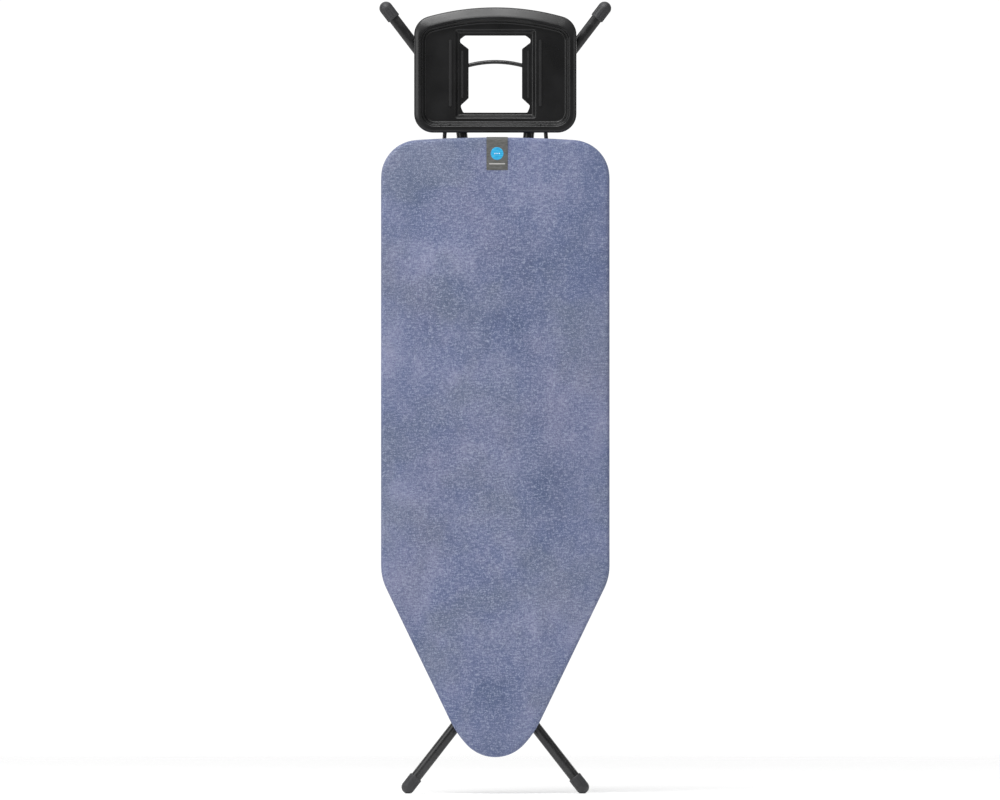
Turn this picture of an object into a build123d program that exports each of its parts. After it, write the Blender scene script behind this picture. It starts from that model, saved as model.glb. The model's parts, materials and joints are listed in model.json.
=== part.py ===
from build123d import *
from math import atan2, cos, degrees, hypot, radians, sqrt
import os

# Folding ironing board with a fixed steam unit holder, folded flat.
# It stands on the feet of its inner legs: +Z runs up the board from nose to head,
# +X is to the right of a person who faces the cover, and the cover faces -Y.
# "depth" is the distance behind the foremost face of the board, in millimetres.

# ---------------------------------------------------------------- driving dimensions
overall_depth = 70.0

# outline of the covered worktop
half_width = 228.6
head_z = 1313.5
head_arch_radius = 2450.0
head_corner_radius = 75.0
shoulder_radius = 100.0
nose_z = 73.2
nose_radius = 78.0
nose_blend_radius = 200.0
taper_slope = 0.4833
taper_x_at_origin = 19.5

# layers of the worktop, as front and back depths
label_layer = (0.0, 0.6)
label_centre = (3.6, 1280.2)
label_size = (42.5, 64.5)
cover_layer = (0.0, 33.0)
cover_thickness = 1.0
hem_width = 34.0
pad_layer = (1.1, 8.9)
pad_inset = 1.3
rim_layer = (9.0, 31.0)
rim_inset = 3.6
rim_wall = 1.5
rim_lip = 16.0
mesh_layer = (9.1, 10.4)

# slots of the mesh top
slot_length = 30.0
slot_width = 7.0
slot_pitch_x = 44.0
slot_pitch_z = 36.0
mesh_margin = 34.0

# hat-section cross members
member_layer = (10.4, 23.6)
member_sheet = 1.5
member_half_height = 16.0
member_lip_half_height = 26.0
nose_member_z = 240.0
centre_member_z = 745.0
head_member_z = 1240.0

# leg tubes, all four in one plane when folded
tube_radius = 11.0
tube_wall = 1.5
tube_depth = 53.0
bend_radius = 240.0
inner_leg_x = 24.0
outer_leg_x = 65.0
inner_bend_z = 206.0
outer_bend_z = 1371.5
inner_foot = (174.4, 12.9)
outer_foot = (218.7, 1572.5)
joint_gap = 0.02
running_gap = 0.06
fit_gap = 0.1

# scissor geometry: both top axes lie on one line, at equal distances from the centre pivot
top_axis_depth = 34.0
inner_pivot_z = 1253.0
centre_pivot_z = 793.0
slide_bar_z = 2 * centre_pivot_z - inner_pivot_z
fold_limit = 48.0
arm_length = hypot(inner_pivot_z - centre_pivot_z, tube_depth - top_axis_depth)
arm_angle = degrees(atan2(tube_depth - top_axis_depth, inner_pivot_z - centre_pivot_z))

pivot_axle_radius = 5.0
pivot_sleeve_radius = 7.5
slide_bar_radius = 6.0
slide_bar_bore = 4.0
slide_bar_half_length = 93.0
centre_rod_radius = 4.0
centre_rod_half_length = 80.0
lug_radius = 9.0
lug_half_width = 6.0
lug_back_depth = 44.0
tube_end_overrun = 10.0
brace_radius = 8.0
inner_brace = (61.0, 160.0)
outer_brace = (69.8, 1338.0)
side_gap = 0.3
spacer_radius = 7.0
centre_sleeve_radius = 6.0
pivot_cap_radius = 7.5
pivot_cap_length = 8.0
pivot_cap_round = 4.0
bar_chamfer = 0.4

# pivot of the inner legs
bracket_x = 40.0
bracket_sheet = 2.0
bracket_foot = (20.0, 28.0)
bracket_eye_radius = 8.0
bracket_rivet_x = 52.0
bracket_rivet_shift = 8.0
bracket_cheek_ends = (14.0, 2.0)
pivot_axle_half_length = 46.0
ring_width = 1.4

# guide rails for the slide bar
glide_radius = 8.5
glide_span = (82.0, 91.5)
rail_inner_half_depth = 8.8
rail_sheet = 1.6
rail_mouth_x = 79.0
rail_web_x = 94.5
rail_z = (244.0, 741.0)
rail_rivet_z = (251.0, 735.0)
stop_length = 20.0
stop_gap = 0.5
stop_width = 13.5
stop_side_gap = 0.1
stop_corner = 1.5

# height latch
latch_pin_z = 765.0
latch_pin_depth = 44.0
latch_pin_radius = 3.0
latch_pin_overhang = 1.0
latch_cheek_x = 10.0
latch_bracket_height = 30.0
latch_cheek_eye_radius = 6.0
latch_cheek_corner = (5.0, -3.0)
latch_half_thickness = 2.0
latch_front_depth = slide_bar_radius + top_axis_depth + 0.3
latch_back_depth = 54.0
latch_tip_z = 312.0
notch_radius = 6.6
notch_angles = (28, 32, 36, 40, 44, 48)
latch_eye_radius = 7.0
latch_tip_chamfer = (8.0, 14.0, 6.0)
latch_back_end = 40.0
latch_front_end = 4.0
arm_root = (18.0, 20.0)
arm_layer = (34.0, 38.0)
grip_z = (850.0, 920.0)
grip_layer = (31.0, 40.5)
grip_width = 26.0
grip_corner = 9.0
grip_round = 3.0
grip_socket_end = 8.0

# torsion spring of the latch
spring_start_x = 3.2
spring_length = 5.4
spring_pitch = 1.5
spring_radius = 4.6
spring_wire_radius = 0.6

# transport lock
lock_z = nose_member_z
lock_layer = (64.6, 66.6)
lock_length = 96.0
lock_width = 18.0
lock_grip_size = (58.0, 14.0)
lock_grip_thickness = 3.0
lock_stud_radii = (6.0, 3.0, 5.6)
lock_stud_round = 1.6
lock_grip_round = 1.2

# feet
cap_radius = 13.5
cap_length = 26.0
cap_bore_end = 4.0
cap_mouth_chamfer = (1.5, 0.8)
cap_rib_count = 14
cap_groove_radius = 1.0
cap_groove_length = 17.0
cap_collar_length = 5.0
tube_end_gap = 0.5

# steam unit holder
tray_half_width = 162.5
tray_bottom_z = 1323.0
tray_top_z = 1573.8
tray_arch_radius = 500.0
tray_corner_radius = 38.0
tray_corner_least = 8.0
tray_layer = (11.0, 34.0)
tray_wall = 2.5
rim_widths = (13.5, 12.5, 22.5)
rim_edge_depth = 16.2
rim_crest_share = 0.92
rim_edge_round = 3.0
rim_hollow_depth = 18.9
ledge_depth = 16.7
ledge_insets = (1.0, 3.4)
tray_floor_inset = 10.0
tray_floor_depth = 24.0
window_plate_depth = 31.5
surround_slope = 8.5
surround_corner = 4.0
screw_boss_radius = 4.5
screw_boss_hole = 12.5
surround_half_width = 82.0
surround_z = (1351.0, 1530.6)
window_points = [
    (60.5, 1517.2),
    (70.2, 1510),
    (70.2, 1503.5),
    (53.4, 1490.5),
    (53.4, 1392),
    (69, 1377.6),
    (68, 1372),
    (64, 1363.3),
]
strip_height = 2.5
outer_strips = (90.0, (1375.0, 1509.0), 6.0, tray_floor_depth)
inner_strips = (66.0, (1391.6, 1487.0), 5.0, window_plate_depth)
strip_round = 1.0

# wire bracket of the holder
wire_radius = 4.0
wire_depth = 37.5
wire_start = (108.9, 1215.0)
wire_corner = (91.8, 1449.0)
wire_apex_z = 1470.5
wire_corner_radius = 14.0
wire_arch_radius = 210.0
channel_gap = 0.05
hook_place = (68.0, 1454.9)
hook_size = (13.0, 16.0)
hook_back_depth = 44.0
hook_overlap = 1.0
clamp_x = 107.0
clamp_width = 28.0
clamp_back = 2.0
clamp_corner = 3.0
tray_clamp = (100.2, 1334.0)
tray_clamp_height = 14.0
clamp_screw_shift = 9.0

# fasteners
rivet_radius = 2.0
rivet_flat_head = (3.0, 1.2)
rivet_dome_head = (3.8, 1.6)
rivet_dome_taper = 35
latch_rivet_z = (737.0, 753.0)
rail_rivet_x = (rail_mouth_x + rail_web_x) / 2
rail_rivets_low = [(side * rail_rivet_x, rail_rivet_z[0]) for side in (-1, 1)]
rail_rivets_high = [(side * rail_rivet_x, rail_rivet_z[1]) for side in (-1, 1)]
latch_rivets = [(0, z) for z in latch_rivet_z]
rivet_shifts = (-bracket_rivet_shift, bracket_rivet_shift)
bracket_rivets = [(s * bracket_rivet_x, head_member_z + dz) for s in (-1, 1) for dz in rivet_shifts]
screw_radius = 1.9
screw_head = (3.8, 2.4)
screw_head_taper = 20
screw_socket = (1.5, 1.4)
screw_shifts = (-clamp_screw_shift, clamp_screw_shift)
clamp_screws = [(s * clamp_x + dx, head_member_z) for s in (-1, 1) for dx in screw_shifts]
tray_screws = [(s * tray_clamp[0] + dx, tray_clamp[1]) for s in (-1, 1) for dx in screw_shifts]

os.makedirs("parts", exist_ok=True)


# ---------------------------------------------------------------- helpers
def y_of(depth):
    """World Y of a depth behind the foremost face."""
    return depth - overall_depth / 2


def back_plane(depth):
    """Plane facing -Y at a depth, local x along +X and local y along +Z."""
    return Plane.XZ.offset(-y_of(depth))


def side_plane(x):
    """Plane facing +X, local x along +Y and local y along +Z."""
    return Plane.YZ.offset(x)


def save(builder, name):
    builder.part.label = name
    export_step(builder.part, f"parts/{name}.step")


def side_name(side):
    return "left" if side < 0 else "right"


def outline_points(inset):
    """Tangent points and arc centres of the right half of the worktop outline."""
    width = half_width - inset
    norm = sqrt(1 + taper_slope**2)
    across = (1 / norm, -taper_slope / norm)
    line_x = taper_x_at_origin - inset * norm
    arch = head_arch_radius - inset
    corner = head_corner_radius - inset
    shoulder = shoulder_radius - inset
    nose = nose_radius - inset
    blend = nose_blend_radius - inset
    arch_centre_z = head_z - head_arch_radius
    corner_x = width - corner
    corner_z = arch_centre_z + sqrt((arch - corner) ** 2 - corner_x**2)
    reach = arch / (arch - corner)
    head_tangent = (corner_x * reach, arch_centre_z + (corner_z - arch_centre_z) * reach)
    shoulder_x = width - shoulder
    shoulder_z = (shoulder_x - line_x + shoulder * norm) / taper_slope
    nose_centre_z = nose_z + nose_radius
    offset_x = line_x - blend * norm
    a = 1 + taper_slope**2
    b = taper_slope * offset_x - nose_centre_z
    c = offset_x**2 + nose_centre_z**2 - (blend - nose) ** 2
    blend_z = (-b + sqrt(b**2 - a * c)) / a
    blend_x = offset_x + taper_slope * blend_z
    nose_reach = nose / (blend - nose)
    nose_tangent = (-blend_x * nose_reach, nose_centre_z + (nose_centre_z - blend_z) * nose_reach)
    return {
        "top": (0, head_z - inset),
        "head_tangent": head_tangent,
        "corner": (corner_x, corner_z, corner),
        "side_top": (width, corner_z),
        "side_bottom": (width, shoulder_z),
        "shoulder": (shoulder_x, shoulder_z, shoulder),
        "taper_top": (shoulder_x + shoulder * across[0], shoulder_z + shoulder * across[1]),
        "taper_bottom": (blend_x + blend * across[0], blend_z + blend * across[1]),
        "blend": (blend_x, blend_z, blend),
        "nose_tangent": nose_tangent,
        "nose": (0, nose_z + inset),
    }


def arc_middle(centre, start, end):
    """Point halfway along the short arc from start to end."""
    mid_x = (start[0] + end[0]) / 2 - centre[0]
    mid_z = (start[1] + end[1]) / 2 - centre[1]
    scale = centre[2] / hypot(mid_x, mid_z)
    return (centre[0] + mid_x * scale, centre[1] + mid_z * scale)


def worktop_face(depth, inset):
    """Worktop outline, moved inwards by inset, on the plane at a depth."""
    p = outline_points(inset)
    other = {key: (-value[0], value[1]) for key, value in p.items()}
    corner_middle = arc_middle(p["corner"], p["head_tangent"], p["side_top"])
    shoulder_middle = arc_middle(p["shoulder"], p["side_bottom"], p["taper_top"])
    blend_middle = arc_middle(p["blend"], p["taper_bottom"], p["nose_tangent"])
    with BuildSketch(back_plane(depth)) as sketch:
        with BuildLine():
            ThreePointArc(other["head_tangent"], p["top"], p["head_tangent"])
            ThreePointArc(p["nose_tangent"], p["nose"], other["nose_tangent"])
            right = (
                ThreePointArc(p["head_tangent"], corner_middle, p["side_top"]),
                Line(p["side_top"], p["side_bottom"]),
                ThreePointArc(p["side_bottom"], shoulder_middle, p["taper_top"]),
                Line(p["taper_top"], p["taper_bottom"]),
                ThreePointArc(p["taper_bottom"], blend_middle, p["nose_tangent"]),
            )
            mirror(right, about=Plane.YZ)
        make_face()
    return sketch.sketch


def half_width_at(z):
    """Half width of the worktop where its sides are straight or taper."""
    return min(half_width, taper_x_at_origin + taper_slope * z)


def cross_hole(depth, z, radius):
    """Hole along X through the current part."""
    with BuildSketch(Plane.YZ) as hole:
        with Locations((y_of(depth), z)):
            Circle(radius)
    extrude(hole.sketch, amount=half_width, both=True, mode=Mode.SUBTRACT)


def depth_holes(points, radius):
    """Holes along Y through the current part, at (x, z) points."""
    with BuildSketch(back_plane(overall_depth)) as holes:
        with Locations(*points):
            Circle(radius)
    extrude(holes.sketch, amount=overall_depth, mode=Mode.SUBTRACT)


# ---------------------------------------------------------------- worktop
def make_rim():
    front, back = rim_layer
    with BuildPart() as board_rim:
        extrude(worktop_face(back, rim_inset), amount=back - front)
        inside = worktop_face(back - rim_wall, rim_inset + rim_wall)
        extrude(inside, amount=back - front - rim_wall, mode=Mode.SUBTRACT)
        middle = worktop_face(back, rim_inset + rim_lip)
        extrude(middle, amount=back - front, mode=Mode.SUBTRACT)
    save(board_rim, "board_rim")


def slot_places():
    """Staggered slot centres that keep a solid border round the mesh."""
    places = []
    columns = int(half_width / slot_pitch_x) + 1
    rows = int(head_z / slot_pitch_z) + 1
    for shift in (0.0, 0.5):
        for column in range(-columns, columns + 1):
            for row in range(rows):
                x = (column + shift) * slot_pitch_x
                z = (row + shift) * slot_pitch_z
                inside = abs(x) + slot_length / 2 + mesh_margin / 2 < half_width_at(z - mesh_margin)
                if inside and nose_z + 2 * mesh_margin < z < head_z - 1.2 * mesh_margin:
                    places.append((x, z))
    return places


def make_mesh_top():
    front, back = mesh_layer
    with BuildPart() as mesh_top:
        extrude(worktop_face(back, rim_inset + rim_wall + fit_gap), amount=back - front)
        with BuildSketch(back_plane(back)):
            with Locations(*slot_places()):
                SlotOverall(slot_length, slot_width)
        extrude(amount=back - front, mode=Mode.SUBTRACT)
    save(mesh_top, "mesh_top")


def hat_section(z):
    """Hat section across the board, closed side to the back."""
    front, back = member_layer
    web = member_half_height - member_sheet
    with BuildSketch(side_plane(0)) as sketch:
        with Locations((y_of(front), z)):
            Rectangle(back - front, 2 * member_half_height, align=(Align.MIN, Align.CENTER))
            Rectangle(member_sheet, 2 * member_lip_half_height, align=(Align.MIN, Align.CENTER))
            Rectangle(
                back - front - member_sheet,
                2 * web,
                align=(Align.MIN, Align.CENTER),
                mode=Mode.SUBTRACT,
            )
    return sketch.sketch


def make_cross_member(name, z, holes, hole_radius):
    front, back = member_layer
    with BuildPart() as member:
        extrude(hat_section(z), amount=half_width, both=True)
        trim = worktop_face(back, rim_inset + rim_wall + fit_gap)
        extrude(trim, amount=back - front, mode=Mode.INTERSECT)
        depth_holes(holes, hole_radius)
    save(member, name)


def make_rivets():
    """Rivets that hold rails and brackets to the cross members."""
    plate_back = member_layer[1]
    flat_radius, flat_height = rivet_flat_head
    dome_radius, dome_height = rivet_dome_head
    seats = (
        (rail_rivets_low + rail_rivets_high, plate_back + rail_sheet),
        (latch_rivets + bracket_rivets, plate_back + bracket_sheet),
    )
    with BuildPart() as frame_rivets:
        for points, head_seat in seats:
            shank_length = head_seat - plate_back + member_sheet
            with BuildSketch(back_plane(head_seat)):
                with Locations(*points):
                    Circle(rivet_radius - joint_gap)
            extrude(amount=shank_length)
            with BuildSketch(back_plane(plate_back - member_sheet)):
                with Locations(*points):
                    Circle(flat_radius)
            extrude(amount=flat_height)
            with BuildSketch(back_plane(head_seat)):
                with Locations(*points):
                    Circle(dome_radius)
            extrude(amount=-dome_height, taper=rivet_dome_taper)
    save(frame_rivets, "frame_rivets")


def make_pad():
    front, back = pad_layer
    with BuildPart() as foam_pad:
        extrude(worktop_face(back, pad_inset), amount=back - front)
    save(foam_pad, "foam_pad")


def make_cover():
    front, back = cover_layer
    with BuildPart() as cover:
        extrude(worktop_face(back, 0), amount=back - front)
        inside = worktop_face(back - cover_thickness, cover_thickness)
        extrude(inside, amount=back - front - 2 * cover_thickness, mode=Mode.SUBTRACT)
        opening = worktop_face(back, hem_width)
        extrude(opening, amount=cover_thickness, mode=Mode.SUBTRACT)
        with BuildSketch(back_plane(label_layer[1])):
            with Locations(label_centre):
                Rectangle(*label_size)
        extrude(amount=label_layer[1] - label_layer[0], mode=Mode.SUBTRACT)
    save(cover, "cover")


def make_label():
    front, back = label_layer
    with BuildPart() as cover_label:
        with BuildSketch(back_plane(back)):
            with Locations(label_centre):
                Rectangle(*label_size)
        extrude(amount=back - front)
    save(cover_label, "cover_label")


# ---------------------------------------------------------------- legs
def leg_points(side, leg_x, start_z, bend_z, foot):
    return [(side * leg_x, start_z), (side * leg_x, bend_z), (side * foot[0], foot[1])]


def leg_direction(leg_x, bend_z, foot):
    """Unit vector, in the leg plane, from the bend towards the foot."""
    length = hypot(foot[0] - leg_x, foot[1] - bend_z)
    return ((foot[0] - leg_x) / length, (foot[1] - bend_z) / length)


def make_leg(name, side, leg_x, start_z, bend_z, foot, pivot_hole):
    way = leg_direction(leg_x, bend_z, foot)
    setback = cap_bore_end + tube_end_gap
    tube_end = (foot[0] - way[0] * setback, foot[1] - way[1] * setback)
    with BuildPart() as leg:
        with BuildLine(back_plane(tube_depth)) as path:
            FilletPolyline(*leg_points(side, leg_x, start_z, bend_z, tube_end), radius=bend_radius)
        with BuildSketch(Plane(origin=path.line @ 0, z_dir=path.line % 0)):
            Circle(tube_radius)
            Circle(tube_radius - tube_wall, mode=Mode.SUBTRACT)
        sweep()
        cross_hole(tube_depth, centre_pivot_z, pivot_hole)
    save(leg, name)


def make_foot(name, side, leg_x, bend_z, foot):
    """Ribbed end cap with a domed end, bored to take the tube."""
    way = leg_direction(leg_x, bend_z, foot)
    centre = Vector(side * foot[0], y_of(tube_depth), foot[1])
    outward = Vector(side * way[0], 0, way[1])
    groove_start = cap_length - cap_collar_length
    mouth_length, mouth_drop = cap_mouth_chamfer
    with BuildPart() as cap:
        with BuildSketch(Plane(origin=centre, x_dir=outward, z_dir=(0, -1, 0))):
            with BuildLine():
                bore = tube_radius + joint_gap
                Polyline(
                    (cap_radius, 0),
                    (-cap_bore_end, 0),
                    (-cap_bore_end, bore),
                    (-cap_length, bore),
                    (-cap_length, cap_radius - mouth_drop),
                    (-cap_length + mouth_length, cap_radius),
                    (0, cap_radius),
                )
                CenterArc((0, 0), cap_radius, 0, 90)
            make_face()
        revolve(axis=Axis(centre, outward))
        with BuildSketch(Plane(origin=centre - outward * groove_start, z_dir=outward)):
            with PolarLocations(cap_radius + cap_groove_radius / 3, cap_rib_count):
                Circle(cap_groove_radius)
        extrude(amount=cap_groove_length, mode=Mode.SUBTRACT)
        split(bisect_by=Plane.XY, keep=Keep.TOP)
    save(cap, name)


def make_lug(name, x, axis_z, bore):
    """Welded lug that carries a cross axis in front of a tube."""
    front_y = y_of(top_axis_depth)
    with BuildPart() as lug:
        with BuildSketch(side_plane(x)):
            with Locations((front_y, axis_z)):
                Circle(lug_radius)
                reach = lug_back_depth - top_axis_depth
                Rectangle(reach, 2 * lug_radius, align=(Align.MIN, Align.CENTER))
                Circle(bore, mode=Mode.SUBTRACT)
        extrude(amount=lug_half_width, both=True)
        with BuildSketch(Plane.XY.offset(axis_z - 2 * lug_radius)):
            with Locations((x, y_of(tube_depth))):
                Circle(tube_radius + joint_gap)
        extrude(amount=4 * lug_radius, mode=Mode.SUBTRACT)
    save(lug, name)


def make_bar(name, x_start, x_end, depth, z, radius, bore=0.0):
    """Round bar, tube or bush along X."""
    with BuildPart() as bar:
        with BuildSketch(side_plane(x_start)):
            with Locations((y_of(depth), z)):
                Circle(radius)
                if bore:
                    Circle(bore, mode=Mode.SUBTRACT)
        extrude(amount=x_end - x_start)
        chamfer(bar.edges().filter_by(GeomType.CIRCLE).sort_by(SortBy.RADIUS)[-2:], bar_chamfer)
    save(bar, name)


def make_brace(name, half_span, z, leg_x, start_z, bend_z, foot):
    """Cross tube welded between a pair of leg tubes, its ends coped to them."""
    with BuildPart() as brace:
        with BuildSketch(side_plane(-half_span)):
            with Locations((y_of(tube_depth), z)):
                Circle(brace_radius)
                Circle(brace_radius - tube_wall, mode=Mode.SUBTRACT)
        extrude(amount=2 * half_span)
        for side in (-1, 1):
            with BuildLine(back_plane(tube_depth)) as path:
                FilletPolyline(*leg_points(side, leg_x, start_z, bend_z, foot), radius=bend_radius)
            with BuildSketch(Plane(origin=path.line @ 0, z_dir=path.line % 0)):
                Circle(tube_radius + joint_gap)
            sweep(mode=Mode.SUBTRACT)
    save(brace, name)


# ---------------------------------------------------------------- pivots, rails and stops
def make_pivot_bracket(side):
    """Angle bracket on the head member that holds one end of the pivot axle."""
    base = member_layer[1]
    nose_end, head_end = bracket_cheek_ends
    with BuildPart() as bracket:
        with BuildSketch(side_plane(side * bracket_x)):
            with BuildLine():
                Polyline(
                    (y_of(base), head_member_z - nose_end),
                    (y_of(base), inner_pivot_z + head_end),
                    (y_of(top_axis_depth), inner_pivot_z + bracket_eye_radius),
                    (y_of(top_axis_depth), inner_pivot_z - bracket_eye_radius),
                    close=True,
                )
            make_face()
            with Locations((y_of(top_axis_depth), inner_pivot_z)):
                Circle(bracket_eye_radius)
                Circle(pivot_axle_radius + joint_gap, mode=Mode.SUBTRACT)
        extrude(amount=side * bracket_sheet)
        with BuildSketch(back_plane(base + bracket_sheet)):
            with Locations((side * (bracket_x + bracket_foot[0] / 2), head_member_z)):
                Rectangle(*bracket_foot)
        extrude(amount=bracket_sheet)
        depth_holes(bracket_rivets, rivet_radius)
    save(bracket, f"pivot_bracket_{side_name(side)}")


def make_guide_rail(side):
    outer_x = rail_web_x + rail_sheet
    height = 2 * rail_inner_half_depth
    with BuildPart() as rail:
        with BuildSketch(Plane.XY.offset(rail_z[0])):
            with Locations((side * (rail_mouth_x + outer_x) / 2, y_of(top_axis_depth))):
                Rectangle(outer_x - rail_mouth_x, height + 2 * rail_sheet)
            with Locations((side * (rail_mouth_x + rail_web_x) / 2, y_of(top_axis_depth))):
                Rectangle(rail_web_x - rail_mouth_x, height, mode=Mode.SUBTRACT)
        extrude(amount=rail_z[1] - rail_z[0])
        with BuildSketch(back_plane(top_axis_depth)):
            with Locations(*(rail_rivets_low + rail_rivets_high)):
                Circle(rivet_radius)
        extrude(amount=height, mode=Mode.SUBTRACT)
    save(rail, f"guide_rail_{side_name(side)}")


def make_rail_stops():
    """Buffers that stop the glides, at both ends of both rails."""
    stop_x = rail_web_x - stop_side_gap - stop_width / 2
    nose_end = slide_bar_z - glide_radius - stop_gap - stop_length
    head_end = slide_bar_z_at(fold_limit) + glide_radius + stop_gap
    with BuildPart() as stops:
        for z_low in (nose_end, head_end):
            with BuildSketch(Plane.XY.offset(z_low)):
                for side in (-1, 1):
                    with Locations((side * stop_x, y_of(top_axis_depth))):
                        Rectangle(stop_width, 2 * rail_inner_half_depth - stop_side_gap)
            extrude(amount=stop_length)
        fillet(stops.edges().filter_by(Axis.Z), stop_corner)
    save(stops, "rail_stops")


def make_pivot_cap(side):
    """Domed cap on one end of the centre rod."""
    inner_x = outer_leg_x + tube_radius + side_gap
    with BuildPart() as cap:
        with BuildSketch(side_plane(side * inner_x)):
            with Locations((y_of(tube_depth), centre_pivot_z)):
                Circle(pivot_cap_radius)
        extrude(amount=side * pivot_cap_length)
        fillet(cap.faces().sort_by(Axis.X)[-1 if side > 0 else 0].edges(), pivot_cap_round)
        with BuildSketch(side_plane(side * inner_x)):
            with Locations((y_of(tube_depth), centre_pivot_z)):
                Circle(centre_rod_radius + joint_gap)
        depth = centre_rod_half_length - inner_x + joint_gap
        extrude(amount=side * depth, mode=Mode.SUBTRACT)
    save(cap, f"pivot_cap_{side_name(side)}")


def make_axle_rings():
    """Retaining rings outside the brackets, one on each end of the pivot axle."""
    with BuildPart() as axle_rings:
        for side in (-1, 1):
            with BuildSketch(side_plane(side * (bracket_x + bracket_sheet + side_gap))):
                with Locations((y_of(top_axis_depth), inner_pivot_z)):
                    Circle(bracket_eye_radius)
                    Circle(pivot_axle_radius + joint_gap, mode=Mode.SUBTRACT)
            extrude(amount=side * ring_width)
    save(axle_rings, "axle_rings")


# ---------------------------------------------------------------- height latch
def make_latch_bracket():
    """U bracket on the centre member, with the pin through both cheeks."""
    base = member_layer[1]
    half_height = latch_bracket_height / 2
    corner_y, corner_z = latch_cheek_corner
    with BuildPart() as bracket:
        for side in (-1, 1):
            with BuildSketch(side_plane(side * latch_cheek_x)):
                with BuildLine():
                    Polyline(
                        (y_of(base), centre_member_z - half_height),
                        (y_of(base), centre_member_z + half_height),
                        (y_of(latch_pin_depth), latch_pin_z + latch_cheek_eye_radius),
                        (y_of(latch_pin_depth) + corner_y, latch_pin_z + corner_z),
                        close=True,
                    )
                make_face()
                with Locations((y_of(latch_pin_depth), latch_pin_z)):
                    Circle(latch_cheek_eye_radius)
                    Circle(latch_pin_radius + joint_gap, mode=Mode.SUBTRACT)
            extrude(amount=side * bracket_sheet)
        with BuildSketch(back_plane(base + bracket_sheet)):
            with Locations((0, centre_member_z)):
                Rectangle(2 * latch_cheek_x, latch_bracket_height)
        extrude(amount=bracket_sheet)
        depth_holes(latch_rivets, rivet_radius)
    save(bracket, "latch_bracket")


def slide_bar_z_at(angle):
    """Height of the slide bar along the board when the legs are open by an angle."""
    return inner_pivot_z - 2 * arm_length * cos(radians(angle + arm_angle))


def make_latch_plate():
    """Notched plate that hooks over the slide bar, with its release arm."""
    eye_y = y_of(latch_pin_depth)
    front_y = y_of(latch_front_depth)
    back_y = y_of(latch_back_depth)
    arm_front_y, arm_back_y = [y_of(depth) for depth in arm_layer]
    arm_end_z = grip_z[1] - grip_socket_end
    tip_y, tip_front_rise, tip_back_rise = latch_tip_chamfer
    root_front, root_back = arm_root
    with BuildPart() as latch:
        with BuildSketch(side_plane(0)):
            with BuildLine():
                Polyline(
                    (front_y, latch_pin_z - latch_front_end),
                    (front_y, latch_tip_z + tip_front_rise),
                    (front_y + tip_y, latch_tip_z),
                    (back_y, latch_tip_z + tip_back_rise),
                    (back_y, latch_pin_z - latch_back_end),
                    (eye_y + latch_eye_radius, latch_pin_z),
                    (arm_back_y, latch_pin_z + root_back),
                    (arm_back_y, arm_end_z),
                    (arm_front_y, arm_end_z),
                    (arm_front_y, latch_pin_z + root_front),
                    close=True,
                )
            make_face()
            with Locations((eye_y, latch_pin_z)):
                Circle(latch_eye_radius)
                Circle(latch_pin_radius + running_gap, mode=Mode.SUBTRACT)
            with Locations(*[(front_y, slide_bar_z_at(angle)) for angle in notch_angles]):
                Circle(notch_radius, mode=Mode.SUBTRACT)
        extrude(amount=latch_half_thickness, both=True)
    save(latch, "latch_plate")


def make_release_grip():
    """Moulded grip round the end of the release arm."""
    front, back = grip_layer
    with BuildPart() as grip:
        with BuildSketch(back_plane(back)):
            with Locations((0, (grip_z[0] + grip_z[1]) / 2)):
                RectangleRounded(grip_width, grip_z[1] - grip_z[0], grip_corner)
        extrude(amount=back - front)
        fillet(grip.faces().sort_by(Axis.Y)[0].edges(), grip_round)
        fillet(grip.faces().sort_by(Axis.Y)[-1].edges(), grip_round)
        with BuildSketch(Plane.XY.offset(grip_z[0])):
            with Locations((0, y_of(sum(arm_layer) / 2))):
                socket = arm_layer[1] - arm_layer[0] + 2 * joint_gap
                Rectangle(2 * (latch_half_thickness + joint_gap), socket)
        extrude(amount=grip_z[1] - grip_z[0] - grip_socket_end + joint_gap, mode=Mode.SUBTRACT)
    save(grip, "release_grip")


def make_latch_spring():
    """Torsion spring round the latch pin, between the plate and the right cheek."""
    start = Vector(spring_start_x, y_of(latch_pin_depth), latch_pin_z)
    with BuildPart() as spring:
        with BuildLine() as coil:
            Helix(spring_pitch, spring_length, spring_radius, center=start, direction=(1, 0, 0))
        with BuildSketch(Plane(origin=coil.line @ 0, z_dir=coil.line % 0)):
            Circle(spring_wire_radius)
        sweep(is_frenet=True)
    save(spring, "latch_spring")


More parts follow.
